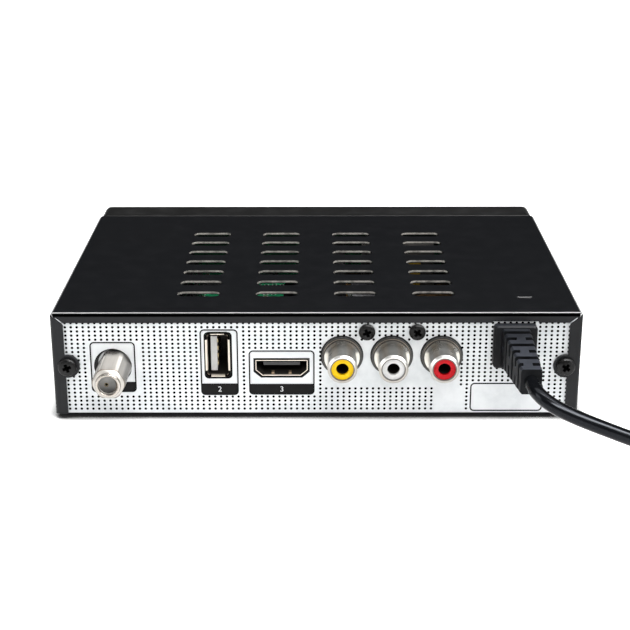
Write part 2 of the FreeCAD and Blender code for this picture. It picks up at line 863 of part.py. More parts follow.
def make_button(label, index):
    body = new_body("Button")
    cap = sketch_at(body, "Y", "front_y - button_proud")
    x = f"button_x + {index} * button_pitch"
    draw_slot(cap, x, "button_z", "button_width", "button_height")
    pad(body, cap, "button_proud + bezel_face + button_play", back=True)
    front = read("front_y") - read("button_proud")
    dress(body, "Chamfer", "button_proud / 2",
          lambda edge: near(edge.BoundBox.YMin, front) and near(edge.BoundBox.YMax, front))
    flange = sketch_at(body, "Y", "face_back + button_play")
    draw_frame(flange, x, "button_z", "button_width + button_rim", "button_height + 2 * button_rim")
    pad(body, flange, "button_flange", back=True)
    stem = sketch_at(body, "Y", "button_back")
    draw_circle(stem, x, "button_z", "stem_radius")
    pad(body, stem, "switch_y - button_back - button_travel - button_play / 2", back=True)
    node(body, label)


def make_front_board():
    board = block("FrontBoard", ("-front_board_width / 2", "front_board_y", "front_board_z"),
                  ("front_board_width", "board", "front_board_height"))
    holes = []
    for corner in board_corners:
        x, z = post_place(*corner)
        holes.append(rod("PostHole", "post_radius + post_fit", "3 * board",
                         (x, "front_board_y - board", z), "Y"))
    node(cut("FrontBoardDrilled", board, group("PostHoles", holes)), "front_board")
    node(block("Display", ("window_x + display_side - display_width / 2", "front_board_y - display_depth",
                           "window_z - display_height / 2"),
               ("display_width", "display_depth", "display_height")), "led_display")
    infrared_x = "window_left + infrared_inset"
    case = block("InfraredCase", (f"{infrared_x} - infrared_width / 2", "front_board_y - infrared_depth",
                                  "window_z - infrared_height / 2"),
                 ("infrared_width", "infrared_depth", "infrared_height"))
    lens = rod("InfraredLens", "infrared_lens", "infrared_lens",
               (infrared_x, "front_board_y - infrared_depth - infrared_lens", "window_z"), "Y")
    node(fuse("Infrared", case, lens), "ir_receiver")
    node(rod("StatusLed", "led_radius", "led_length",
             ("window_left + led_inset", "front_board_y - led_length", "window_z"), "Y"), "status_led")
    switches = []
    for index in range(3):
        x = f"button_x + {index} * button_pitch"
        base = block("SwitchBase", (f"{x} - switch_width / 2", "front_board_y - switch_depth",
                                    "button_z - switch_width / 2"),
                     ("switch_width", "switch_depth", "switch_width"))
        plunger = rod("Plunger", "plunger_radius", "plunger_length", (x, "switch_y", "button_z"), "Y")
        switches.append(fuse("Switch", base, plunger))
    node(group("Switches", switches), "tact_switches")


# ---- Boards in the tray ----

def make_main_board():
    body = new_body("MainBoard")
    outline = sketch_at(body, "Z", "board_low")
    draw_outline(outline, [("main_left", "board_rear"), ("main_left", "rear_y - main_strip"),
                           ("main_block", "rear_y - main_strip"), ("main_block", "main_front"),
                           ("main_right", "main_front"), ("main_right", "board_rear")])
    pad(body, outline, "board")
    holes = sketch_at(body, "Z", "board_top")
    for x, depth in main_posts:
        draw_circle(holes, x, f"rear_y - {depth}", "board_hole")
    pocket(body, holes, "board")
    node(body, "main_board")


def make_power_board():
    body = new_body("PowerBoard")
    outline = sketch_at(body, "Z", "board_low")
    draw_outline(outline, [("power_left", "rear_y - power_back"), ("power_left", "rear_y - power_depth"),
                           ("power_right", "rear_y - power_depth"), ("power_right", "rear_y - power_back")])
    pad(body, outline, "board")
    holes = sketch_at(body, "Z", "board_top")
    for x, depth in power_posts:
        draw_circle(holes, x, f"rear_y - {depth}", "board_hole")
    pocket(body, holes, "board")
    node(body, "power_board")


def make_screws():
    board_screws = []
    for x, depth in main_posts + power_posts:
        board_screws.append(turned_body("BoardScrew", [
            ("0", "-screw_length"), ("screw_shank", "-screw_length"), ("screw_shank", "0"),
            ("screw_head", "0"), ("screw_head", "screw_head_height"), ("0", "screw_head_height")],
            x, f"rear_y - {depth}", "board_top", "Z"))
    node(group("BoardScrews", board_screws), "board_screws")

    def panel_screw(size, x, y, z):
        return turned_body("PanelScrew", [
            ("0", f"-{size}_length"), (f"{size}_shank", f"-{size}_length"), (f"{size}_shank", "0"),
            (f"{size}_head", "0"), (f"{size}_head", f"{size}_height * head_edge_share"),
            (f"{size}_head * head_crown_share", f"{size}_height"), ("0", f"{size}_height")], x, y, z)

    cover = [panel_screw("cover_screw", f"0 {side} (case_width / 2 - ear_inset)", "rear_y",
                         "foot_height + ear_height") for side in ("-", "+")]
    node(group("CoverScrews", cover), "cover_screws")
    jack = [panel_screw("panel_screw", f"-jack_side {side} jack_pitch / 2", "panel_y",
                        "jack_screw_z") for side in ("-", "+")]
    node(group("JackScrews", jack), "jack_screws")


# ---- Connectors on the rear panel ----

def make_aerial():
    body = new_body("Aerial")
    sketch = sketch_at(body, "Z", "0")
    draw_outline(sketch, [
        ("aerial_recess", "aerial_root"), ("aerial_radius", "aerial_root"),
        ("aerial_radius", "aerial_reach - aerial_collar"),
        ("aerial_collar_radius", "aerial_reach - aerial_collar"),
        ("aerial_collar_radius", "aerial_reach - aerial_lip"),
        ("aerial_collar_radius - aerial_lip", "aerial_reach"), ("aerial_recess", "aerial_reach")])
    revolve(body, sketch)
    flats = sketch_at(body, "Y", "aerial_reach - aerial_collar")
    draw_hexagon(flats, "0", "0", "aerial_flat")
    draw_circle(flats, "0", "0", "aerial_radius + steel")
    pocket(body, flats, "aerial_reach - aerial_collar - aerial_root", back=True)
    place(body, "aerial_x", "rear_y", "aerial_z")
    node(body, "aerial_connector")
    face = "aerial_reach - aerial_recess_depth"
    node(turned_body("AerialInsulator", [
        ("aerial_bore", "aerial_root"), ("aerial_recess", "aerial_root"), ("aerial_recess", face),
        ("aerial_bore", face)], "aerial_x", "rear_y", "aerial_z"), "aerial_insulator")
    node(turned_body("AerialContact", [
        ("aerial_pin", "aerial_root"), ("aerial_bore", "aerial_root"),
        ("aerial_bore", face), ("aerial_pin", face)], "aerial_x", "rear_y", "aerial_z"), "aerial_contact")
    node(block("Tuner", ("aerial_x - tuner_width / 2", "board_rear - tuner_depth", "board_top"),
               ("tuner_width", "tuner_depth", "tuner_height")), "tuner_can")


def make_serial_port():
    body = new_body("SerialShell")
    outline = sketch_at(body, "Y", "panel_y")
    draw_frame(outline, "serial_side", "board_top + serial_height / 2", "serial_width", "serial_height")
    pad(body, outline, "serial_depth")
    dress(body, "Fillet", "serial_corner", lambda edge: runs_along(edge, "Y"))
    inside = sketch_at(body, "Y", "panel_y")
    draw_frame(inside, "serial_side", "board_top + serial_height / 2", "serial_width - 2 * port_wall",
               "serial_height - 2 * port_wall")
    pocket(body, inside, "serial_depth - port_wall", back=True)
    node(body, "usb_shell")
    left = "serial_side + serial_width / 2 - port_wall - serial_tongue_offset - serial_tongue"
    low = "board_top + serial_height / 2 - serial_tongue_height / 2"
    tongue = block("SerialTongue", (left, "panel_y - serial_depth + port_wall", low),
                   ("serial_tongue", "serial_depth - port_wall - tongue_recess", "serial_tongue_height"))
    node(tongue, "usb_tongue")
    contacts = []
    for index in range(4):
        rise = f"board_top + serial_height / 2 + ({index} - 1.5) * contact_pitch - contact_width / 2"
        contacts.append(block("SerialContact", (f"{left} - contact_thickness",
                                                "panel_y - serial_depth + port_wall", rise),
                              ("contact_thickness", "serial_depth - port_wall - 2 * tongue_recess",
                               "contact_width")))
    node(group("SerialContacts", contacts), "usb_contacts")


def video_outline(sketch, inset):
    """The port's outline: full width above and drawn in by two slopes below."""
    half = f"(video_width / 2 - {inset})"
    low, high = f"board_top + {inset}", f"board_top + video_height - {inset}"
    shoulder = f"board_top + {inset} + video_chamfer_rise"
    narrow = f"({half} - video_chamfer)"
    draw_outline(sketch, [(f"video_side - {narrow}", low), (f"video_side + {narrow}", low),
                          (f"video_side + {half}", shoulder), (f"video_side + {half}", high),
                          (f"video_side - {half}", high), (f"video_side - {half}", shoulder)])


def make_video_port():
    body = new_body("VideoShell")
    outer = sketch_at(body, "Y", "panel_y")
    video_outline(outer, "0")
    pad(body, outer, "video_depth")
    inner = sketch_at(body, "Y", "panel_y")
    video_outline(inner, "port_wall")
    pocket(body, inner, "video_depth - port_wall", back=True)
    node(body, "hdmi_shell")
    node(block("VideoTongue", ("video_side - video_tongue_width / 2", "panel_y - video_depth + port_wall",
                               "board_top + video_tongue_rise"),
               ("video_tongue_width", "video_depth - port_wall - tongue_recess", "video_tongue")),
         "hdmi_tongue")


def make_jacks():
    width = "jack_block_width"
    base = block("JackBlock", (f"-jack_side - {width} / 2", "jack_block_y", "board_top"),
                 (width, "jack_block_depth", "jack_screw_z + jack_block_rim - board_top"))
    bores = [rod("ScrewBore", "panel_screw_hole", "panel_screw_length",
                 (f"-jack_side {side} jack_pitch / 2", "panel_y - panel_screw_length",
                  "jack_screw_z"), "Y") for side in ("-", "+")]
    node(cut("JackBlockBored", base, group("ScrewBores", bores)), "jack_block")
    contacts = []
    for index, colour in ((1, "yellow"), (0, "white"), (-1, "red")):
        x = f"-jack_side + {index} * jack_pitch"
        root = "-2 * steel"
        floor = "jack_reach - jack_bore_depth"
        node(turned_body("JackShell", [
            ("jack_bore", "jack_reach"), ("jack_radius - jack_chamfer", "jack_reach"),
            ("jack_radius", "jack_reach - jack_chamfer"), ("jack_radius", "jack_step_reach"),
            ("jack_step", "jack_step_reach"), ("jack_step", "jack_flange_reach"),
            ("jack_flange", "jack_flange_reach"), ("jack_flange", root), ("0", root),
            ("0", floor), ("jack_bore", floor)], x, "rear_y", "jack_z"), f"jack_shell_{colour}")
        node(turned_body("JackInsulator", [
            ("jack_socket + jack_sleeve", floor), ("jack_bore", floor),
            ("jack_bore", "jack_reach - jack_recess"),
            ("jack_socket", "jack_reach - jack_recess"),
            ("jack_socket", "jack_reach - jack_recess - jack_sleeve_recess"),
            ("jack_socket + jack_sleeve", "jack_reach - jack_recess - jack_sleeve_recess")],
            x, "rear_y", "jack_z"), f"jack_insulator_{colour}")
        contacts.append(turned_body("JackSleeve", [
            ("jack_socket", floor), ("jack_socket + jack_sleeve", floor),
            ("jack_socket + jack_sleeve", "jack_reach - jack_recess - jack_sleeve_recess"),
            ("jack_socket", "jack_reach - jack_recess - jack_sleeve_recess")], x, "rear_y", "jack_z"))
    node(group("JackContacts", contacts), "jack_contacts")


# ---- Strain relief: a moulded bush with a flexible tail ----

def make_relief():
    body = new_body("Relief")
    flange = sketch_at(body, "Y", "panel_y")
    draw_frame(flange, "relief_x", "relief_z", "relief_width", "relief_height")
    pad(body, flange, "steel + relief_flange", back=True)
    dress(body, "Fillet", "relief_corner", lambda edge: runs_along(edge, "Y"))
    outer_y = read("rear_y") + read("relief_flange")
    dress(body, "Chamfer", "relief_round",
          lambda edge: near(edge.BoundBox.YMin, outer_y) and near(edge.BoundBox.YMax, outer_y))
    neck = sketch_at(body, "Y", "panel_y")
    draw_frame(neck, "relief_x", "relief_z", "relief_width - 2 * relief_neck",
               "relief_height - 2 * relief_neck")
    pad(body, neck, "steel")
    clip = sketch_at(body, "Y", "inner_y")
    draw_frame(clip, "relief_x", "relief_z", "relief_width - 2 * relief_neck + 2 * relief_clip",
               "relief_height - 2 * relief_neck + 2 * relief_clip")
    pad(body, clip, "relief_clip_length")
    near_end = sketch_at(body, "Y", "rear_y + relief_flange")
    draw_frame(near_end, "relief_x", "relief_z", "relief_base_width", "relief_base_height")
    far_end = sketch_at(body, "Y", "exit_y")
    draw_frame(far_end, "exit_x", "exit_z", "relief_end_width", "relief_end_height")
    loft = body.newObject("PartDesign::AdditiveLoft", "ReliefTail")
    loft.Profile = near_end
    loft.Sections = [far_end]
    body.Tip = loft
    dress(body, "Chamfer", "relief_round",
          lambda edge: near(edge.BoundBox.YMin, outer_y) and near(edge.BoundBox.YMax, read("exit_y")))
    # Slots from above and below leave a level web, and slots from the sides leave an upright one.
    for index in range(3):
        start = f"rear_y + relief_flange + {index} * relief_pitch"
        flat = sketch_at(body, "Y", f"{start} + relief_slot")
        for sign in ("+", "-"):
            draw_frame(flat, "relief_x - relief_lean / 2",
                       f"relief_z - relief_drop / 2 {sign} (relief_web + relief_base_height) / 2",
                       "relief_base_width * 2", "relief_base_height")
        pocket(body, flat, "relief_slot")
        upright = sketch_at(body, "Y", f"{start} + relief_pitch / 2 + relief_slot")
        for sign in ("+", "-"):
            draw_frame(upright, f"relief_x - relief_lean / 2 {sign} (relief_web + relief_base_width) / 2",
                       "relief_z", "relief_base_width", "relief_base_height * 2")
        pocket(body, upright, "relief_slot")
    node(body, "strain_relief")


# ---- Parts on the boards ----

def make_main_parts():
    node(block("Chip", ("chip_x - chip_width / 2", "chip_y - chip_width / 2", "board_top"),
               ("chip_width", "chip_width", "chip_height")), "processor_chip")
    body = new_body("Sink")
    base = sketch_at(body, "Z", "board_top + chip_height")
    draw_frame(base, "chip_x", "chip_y", "sink_width", "sink_width")
    pad(body, base, "sink_base")
    fin = sketch_at(body, "Z", "board_top + chip_height + sink_base")
    draw_frame(fin, "chip_x - sink_width / 2 + sink_fin_width / 2", "chip_y", "sink_fin_width",
               "sink_width")
    first = pad(body, fin, "sink_fin")
    doc.recompute()
    repeat(body, first, "X", "sink_width - sink_fin_width", "sink_fins")
    node(body, "heat_sink")
    chips = [block("Memory", (f"memory_x {side} memory_pitch / 2 - memory_width / 2",
                              "memory_y - memory_length / 2", "board_top"),
                   ("memory_width", "memory_length", "memory_height")) for side in ("-", "+")]
    node(group("MemoryPair", chips), "memory_chips")
    header_y = "main_front + header_setback"
    low_header = block("MainHeader", ("ribbon_x - header_width / 2", header_y, "board_top"),
                       ("header_width", "header_depth", "header_height"))
    back = "front_board_y + board"
    drop = "front_board_z + front_header_drop"
    high_header = block("FrontHeader", ("ribbon_x - header_width / 2", back, f"{drop} - header_depth / 2"),
                        ("header_width", "header_height", "header_depth"))
    node(group("RibbonHeaders", [low_header, high_header]), "ribbon_headers")
    ribbon = new_body("Ribbon")
    side = sketch_at(ribbon, "X", "ribbon_x - ribbon_width / 2")
    low_y = f"{header_y} + header_depth / 2"
    top = "board_top + header_height"
    front = f"{back} + header_height"
    draw_outline(side, [
        (f"{low_y} - ribbon_thickness / 2", top), (f"{low_y} + ribbon_thickness / 2", top),
        (f"{low_y} + ribbon_thickness / 2", f"{top} + ribbon_rise"),
        (f"{low_y} - ribbon_thickness / 2", f"{top} + ribbon_rise + ribbon_thickness"),
        (f"{front} + ribbon_thickness", f"{top} + ribbon_rise + ribbon_thickness"),
        (f"{front}", f"{top} + ribbon_rise"), (f"{front}", f"{drop} - ribbon_thickness"),
        (f"{front} + ribbon_thickness", f"{drop} - ribbon_thickness"),
        (f"{front} + ribbon_thickness", f"{top} + ribbon_rise"),
        (f"{low_y} - ribbon_thickness / 2", f"{top} + ribbon_rise")])
    pad(ribbon, side, "ribbon_width")
    node(ribbon, "ribbon_cable")


def upright_can(name, x, depth, radius, tall):
    return rod(name, radius, tall, (x, f"rear_y - {depth}", "board_top"))


def make_power_parts():
    back = "rear_y - power_back"
    node(block("MainsHeader", ("power_left + mains_header_inset - mains_header_width / 2",
                               f"{back} - mains_header_set - mains_header_length / 2", "board_top"),
               ("mains_header_width", "mains_header_length", "mains_header_height")), "mains_header")
    axis_x, axis_z = "power_left + fuse_inset", "board_top + fuse_cap"
    fuse_end = f"{back} - fuse_set"
    glass = rod("FuseGlass", "fuse_radius", "fuse_length",
                (axis_x, f"{fuse_end} - fuse_length", axis_z), "Y")
    caps = [rod("FuseCap", "fuse_cap", "fuse_cap_length", (axis_x, start, axis_z), "Y")
            for start in (f"{fuse_end} - fuse_length", f"{fuse_end} - fuse_cap_length")]
    node(fuse("Fuse", glass, *caps), "fuse")
    node(block("Choke", ("power_left + choke_inset - choke_width / 2",
                         f"{back} - choke_set - choke_length / 2", "board_top"),
               ("choke_width", "choke_length", "choke_height")), "mains_choke")
    node(upright_can("BulkCapacitor", "power_left + bulk_inset", "(power_depth - bulk_set)",
                     "bulk_radius", "bulk_height"), "bulk_capacitor")
    outer = block("CoreBlock", ("core_x - core_width / 2", "core_y - core_length / 2", "board_top"),
                  ("core_width", "core_length", "core_height"))
    window = block("CoreWindow", ("core_x - core_width / 2 + core_limb", "core_y - core_length",
                                  "board_top + core_limb / 2"),
                   ("core_width - 2 * core_limb", "2 * core_length", "core_height - core_limb"))
    node(cut("Core", outer, window), "transformer_core")
    node(block("Bobbin", ("core_x - bobbin_width / 2", "core_y - bobbin_length / 2",
                          "board_top + core_limb / 2 + winding_gap"),
               ("bobbin_width", "bobbin_length", "core_height - core_limb - 2 * winding_gap")),
         "transformer_winding")
    cans = [upright_can("OutputCapacitor", "power_right - output_inset",
                        f"(power_depth - output_set + {index} * output_pitch)",
                        "output_radius", "output_height") for index in range(3)]
    node(group("OutputCapacitors", cans), "output_capacitors")
    headers = []
    for y in ("rear_y - power_back - supply_set - supply_header_depth",
              "rear_y - main_strip + supply_set"):
        headers.append(block("SupplyHeader", ("power_right - supply_inset - supply_header_width / 2", y,
                                                   "board_top"),
                             ("supply_header_width", "supply_header_depth", "supply_header_height")))
    node(group("SupplyHeaders", headers), "supply_headers")
    cable = new_body("SupplyCable")
    side = sketch_at(cable, "X", "power_right - supply_inset - supply_width / 2")
    start = "rear_y - power_back - supply_set - supply_header_depth / 2 - supply_thickness / 2"
    end = "rear_y - main_strip + supply_set + supply_header_depth / 2 + supply_thickness / 2"
    low = "board_top + supply_header_height"
    inner_start, inner_end = f"{start} + supply_thickness", f"{end} - supply_thickness"
    inner, outer = f"{low} + supply_rise", f"{low} + supply_rise + supply_thickness"
    draw_outline(side, [
        (start, low), (inner_start, low), (inner_start, inner), (inner_end, inner), (inner_end, low),
        (end, low), (end, inner), (inner_end, outer), (inner_start, outer), (start, inner)])
    pad(cable, side, "supply_width")
    node(cable, "supply_cable")


# ---- Wires and the mains lead ----

def tube(points, radius):
    """A round tube along straight runs joined by tangent arcs, each as large as its runs allow."""
    edges = []
    at = points[0]
    radii = []
    for before, corner, after in zip(points, points[1:], points[2:]):
        into, out = corner - before, after - corner
        trim = 0.45 * min(into.Length, out.Length)
        half_turn = into.getAngle(out) / 2
        start = corner - into.normalize() * trim
        end = corner + out.normalize() * trim
        inward = (start + end) * 0.5 - corner
        bend = trim / math.tan(half_turn)
        radii.append(round(bend, 1))
        crown = corner + inward.normalize() * (math.hypot(bend, trim) - bend)
        edges.append(Part.LineSegment(at, start).toShape())
        edges.append(Part.Arc(start, crown, end).toShape())
        at = end
    edges.append(Part.LineSegment(at, points[-1]).toShape())
    path = Part.Wire(edges)
    heading = points[1] - points[0]
    ring = Part.Wire([Part.Circle(points[0], heading, radius).toShape()])
    shape = path.makePipeShell([ring], True, False)
    expected = math.pi * radius * radius * path.Length
    print("tube", round(path.Length, 1), "mm, bend radii", radii,
          "volume against a straight one", round(shape.Volume / expected, 4))
    return shape


def solid(name, shape, label):
    item = doc.addObject("Part::Feature", name)
    item.Shape = shape
    return node(item, label)


def make_mains_wires():
    wires = []
    y = read("rear_y")
    clip_y = read("inner_y") - read("relief_clip_length")
    header_y = y - read("power_back") - read("mains_header_set") + read("mains_header_length") / 2
    header_z = read("board_top") + read("mains_header_height") / 2
    for side in (-0.5, 0.5):
        offset = side * read("wire_pitch")
        start = Vector(offset + read("relief_x"), clip_y, read("relief_z"))
        end = Vector(offset + read("power_left") + read("mains_header_inset"), header_y, header_z)
        lead_in = Vector(0, read("wire_lead_in"), 0)
        points = [start, start - lead_in, end + lead_in, end]
        wires.append(tube(points, read("wire_radius")))
    solid("MainsWires", Part.Compound(wires), "mains_wires")


# Route of the mains lead past its exit run: sideways and out from the exit, and height.
lead_route = [(3.0, 9.2, 19.6), (8.6, 10.9, 16.9), (18.6, 11.6, 12.4), (33.0, 10.4, 5.6),
              (49.0, 8.6, 2.0), (64.0, 7.7, 2.0), (77.0, 7.9, 2.0)]
# Route of its tail from the coil to the plug: sideways and out from the coil's middle, and height.
tail_route = [(-26.8, -6.0, 2.0), (-26.8, -16.0, 2.0), (-26.4, -26.0, 4.4), (-26.2, -35.0, 6.8),
              (-26.2, -42.0, 6.8)]


def make_lead():
    radius = read("cord_radius")
    exit_point = Vector(read("exit_x"), read("exit_y"), read("exit_z"))
    points = [exit_point, exit_point + Vector(0, read("exit_run"), 0)]
    points += [Vector(exit_point.x - x, exit_point.y + y, z) for x, y, z in lead_route]
    solid("Lead", tube(points, radius), "power_cord")
    middle_of_coil = Vector(read("coil_x"), read("rear_y") + read("coil_beyond"), 0)
    ring = new_body("Coil")
    profile = sketch_at(ring, "Y", "0")
    inner, outer = "coil_radius - coil_width / 2", "coil_radius + coil_width / 2"
    draw_outline(profile, [
        (f"{inner} + coil_round", "0"), (f"{outer} - coil_round", "0"), (outer, "coil_round"),
        (outer, "coil_height - coil_round"), (f"{outer} - coil_round", "coil_height"),
        (f"{inner} + coil_round", "coil_height"), (inner, "coil_height - coil_round"),
        (inner, "coil_round")])
    revolve(ring, profile)
    place(ring, "coil_x", "rear_y + coil_beyond", "0")
    node(ring, "power_cord_coil")
    tail = [middle_of_coil + Vector(x, y, z) for x, y, z in tail_route]
    solid("Tail", tube(tail, radius), "power_cord_tail")
    return tail[-1]


def make_plug(at):
    """A flat two-pin plug that lies on its side, with its tail at the given point."""
    body = new_body("Plug")
    level = "plug_height / 2"
    stations = [("0", "plug_tail_width", "plug_tail_height"), ("-plug_shoulder", "plug_width", "plug_height")]
    sections = []
    for y, width, tall in stations:
        section = sketch_at(body, "Y", y)
        draw_frame(section, "0", level, width, tall)
        sections.append(section)
    loft = body.newObject("PartDesign::AdditiveLoft", "PlugTail")
    loft.Profile = sections[0]
    loft.Sections = [sections[1]]
    body.Tip = loft
    face = sketch_at(body, "Y", "-plug_shoulder")
    draw_frame(face, "0", level, "plug_width", "plug_height")
    pad(body, face, "plug_length - plug_shoulder")
    dress(body, "Fillet", "plug_round", lambda edge: edge.BoundBox.YLength > read("plug_round"))
    body.Placement.Base = Vector(at.x, at.y, 0)
    node(body, "plug_body")
    pins = []
    for side in (-0.5, 0.5):
        pin = doc.addObject("Part::Cylinder", "Pin")
        bind(pin, Radius="pin_radius", Height="pin_length")
        pin.Placement = FreeCAD.Placement(
            Vector(at.x + side * read("pin_pitch"), at.y - read("plug_length"), read("plug_height") / 2),
            turned["-Y"])
        pins.append(pin)
    node(group("Pins", pins), "plug_pins")


make_cover()
make_tray()
make_feet()
make_front_panel()
make_window()
for index, label in enumerate(("channel_down_button", "channel_up_button", "standby_button")):
    make_button(label, index)
make_front_board()
make_main_board()
make_power_board()
make_screws()
make_aerial()
make_serial_port()
make_video_port()
make_jacks()
make_relief()
make_main_parts()
make_power_parts()
make_mains_wires()
make_plug(make_lead())
doc.recompute()

faults = [item.Name for item in doc.Objects if "Invalid" in item.State or "Error" in item.State]
faults += [item.Label for item in nodes if item.Shape.isNull() or not item.Shape.isValid()]
if faults:
    raise ValueError("failed: " + ", ".join(faults))

os.makedirs("parts", exist_ok=True)
for item in nodes:
    item.Shape.exportStep(f"parts/{item.Label}.step")
print(len(nodes), "nodes")
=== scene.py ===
from functools import partial, reduce
import math

import bmesh
import bpy
from mathutils import Matrix, Vector


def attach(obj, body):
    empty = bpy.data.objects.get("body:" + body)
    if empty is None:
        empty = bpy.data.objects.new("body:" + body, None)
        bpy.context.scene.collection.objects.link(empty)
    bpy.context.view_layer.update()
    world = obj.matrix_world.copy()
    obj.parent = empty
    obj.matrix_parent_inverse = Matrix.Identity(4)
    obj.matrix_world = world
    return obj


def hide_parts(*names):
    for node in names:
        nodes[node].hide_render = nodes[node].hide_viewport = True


# Satellite receiver, seen from behind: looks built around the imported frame. Lengths are metres, and the
# dictionaries that hold plain numbers of millimetres are multiplied by mm where they are used.

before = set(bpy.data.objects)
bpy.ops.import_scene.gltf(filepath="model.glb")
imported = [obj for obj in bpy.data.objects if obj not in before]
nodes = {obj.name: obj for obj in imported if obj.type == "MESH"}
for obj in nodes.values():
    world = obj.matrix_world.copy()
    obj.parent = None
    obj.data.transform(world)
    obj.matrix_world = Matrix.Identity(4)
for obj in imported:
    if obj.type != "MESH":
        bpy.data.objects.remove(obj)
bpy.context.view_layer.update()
scene = bpy.context.scene
print("stage: frame loaded,", len(nodes), "nodes")

mm = 0.001
# the case's width, top, rear and front, and the thickness of its sheet
caseWidth, topZ, rearY, frontY, steel = 150 * mm, 32 * mm, 49.75 * mm, -62.75 * mm, 0.8 * mm
panelY = rearY - steel
jackShell = nodes["jack_shell_yellow"]
jackEnd = max((jackShell.matrix_world @ vert.co).y for vert in jackShell.data.vertices)


def addObject(name, data):
    item = bpy.data.objects.new(name, data)
    scene.collection.objects.link(item)
    return item


# the camera, with its place, its turn in degrees and its lens and sensor in millimetres
view = {
    "at": (-0.000626, rearY + 0.372541, 0.168235),
    "turn": (69.868, 0.0958, -179.8841),
    "lens": 80.905,
    "sensor": 36,
}
camera = bpy.data.cameras.new("View")
camera.lens = view["lens"]
camera.sensor_width = view["sensor"]
camera.clip_start = 0.01
viewer = addObject("View", camera)
viewer.location = view["at"]
viewer.rotation_euler = [math.radians(a) for a in view["turn"]]
scene.camera = viewer
scene.view_settings.view_transform = "Standard"


# shader helpers: put adds a node, and the others find its tree from a socket
def put(tree, kind, inputs=None, **settings):
    item = tree.nodes.new("ShaderNode" + kind)
    for key, value in settings.items():
        setattr(item, key, value)
    for key, value in (inputs or {}).items():
        if isinstance(value, bpy.types.NodeSocket):
            tree.links.new(value, item.inputs[key])
        else:
            item.inputs[key].default_value = value
    return item


def cleared(owner):
    owner.use_nodes = True
    owner.node_tree.nodes.clear()
    return owner.node_tree


def calc(how, first, second=0.0, third=0.0, clamp=False):
    tree = next(value for value in (first, second, third) if isinstance(value, bpy.types.NodeSocket)).id_data
    return put(tree, "Math", {0: first, 1: second, 2: third}, operation=how, use_clamp=clamp).outputs[0]


plus, minus, larger, over, under, absolute = (
    partial(calc, how) for how in ("ADD", "SUBTRACT", "MAXIMUM", "GREATER_THAN", "LESS_THAN", "ABSOLUTE"))


def times(*values):
    return reduce(partial(calc, "MULTIPLY"), values)


def span(value, low, high, toLow=0.0, toHigh=1.0):
    inputs = {"Value": value, "From Min": low, "From Max": high, "To Min": toLow, "To Max": toHigh}
    return put(value.id_data, "MapRange", inputs, interpolation_type="SMOOTHSTEP").outputs["Result"]


def within(value, low, high, soft):
    return times(span(value, low - soft, low + soft), span(value, high - soft, high + soft, 1.0, 0.0))


def between(angle, low, high, soft):
    return within(angle, math.radians(low), math.radians(high), soft)  # low and high are degrees


def distance(first, second):
    return calc("SQRT", plus(times(first, first), times(second, second)))


def mixed(share, first, second):
    return put(share.id_data, "Mix", {0: share, 2: first, 3: second}).outputs[0]


def blended(share, first, second):
    return put(share.id_data, "Mix", {0: share, 6: first, 7: second}, data_type="RGBA").outputs[2]


def noise(vector, scale, detail=3.0, rough=0.6):
    inputs = {"Vector": vector, "Scale": scale, "Detail": detail, "Roughness": rough}
    return put(vector.id_data, "TexNoise", inputs).outputs[0]


def stretched(vector, scale, turn=(0, 0, 0)):
    return put(vector.id_data, "Mapping", {"Vector": vector, "Scale": scale, "Rotation": turn}).outputs[0]


def part(vector, name):
    return put(vector.id_data, "SeparateXYZ", {"Vector": vector}).outputs[name]


def shade(level, tint=(1, 1, 1)):
    return tuple(level * t for t in tint) + (1.0,)


def makeWear():
    tree = bpy.data.node_groups.new("Wear", "ShaderNodeTree")
    face = tree.interface
    for name, kind in (("Vector", "Vector"), ("Cloud Scale", "Float"), ("Grain Scale", "Float")):
        face.new_socket(name=name, in_out="INPUT", socket_type="NodeSocket" + kind)
    for name in ("Cloud", "Grain", "Scratch", "Dust"):
        face.new_socket(name=name, in_out="OUTPUT", socket_type="NodeSocketFloat")
    start = tree.nodes.new("NodeGroupInput")
    end = tree.nodes.new("NodeGroupOutput")
    place = start.outputs["Vector"]
    cloud = span(noise(place, start.outputs["Cloud Scale"], 5.0, 0.62), 0.3, 0.7)
    grain = noise(place, start.outputs["Grain Scale"], 3.0, 0.55)
    lines = []
    for scale, turn in (((30, 1400, 700), (0.2, 0.1, 0.35)), ((1100, 26, 600), (0.1, 0.2, -0.25))):
        lines.append(span(noise(stretched(place, scale, turn), 1.0, 1.0), 0.665, 0.72))
    scratch = times(larger(*lines), span(noise(place, 55.0, 2.0), 0.45, 0.7))
    up = part(put(tree, "NewGeometry").outputs["Normal"], "Z")
    dust = times(span(up, 0.2, 0.9), span(noise(place, 160.0, 6.0, 0.7), 0.42, 0.75))
    for name, value in (("Cloud", cloud), ("Grain", grain), ("Scratch", scratch), ("Dust", dust)):
        tree.links.new(value, end.inputs[name])
    return tree


wear = makeWear()
dustColour = (0.35, 0.35, 0.36, 1)


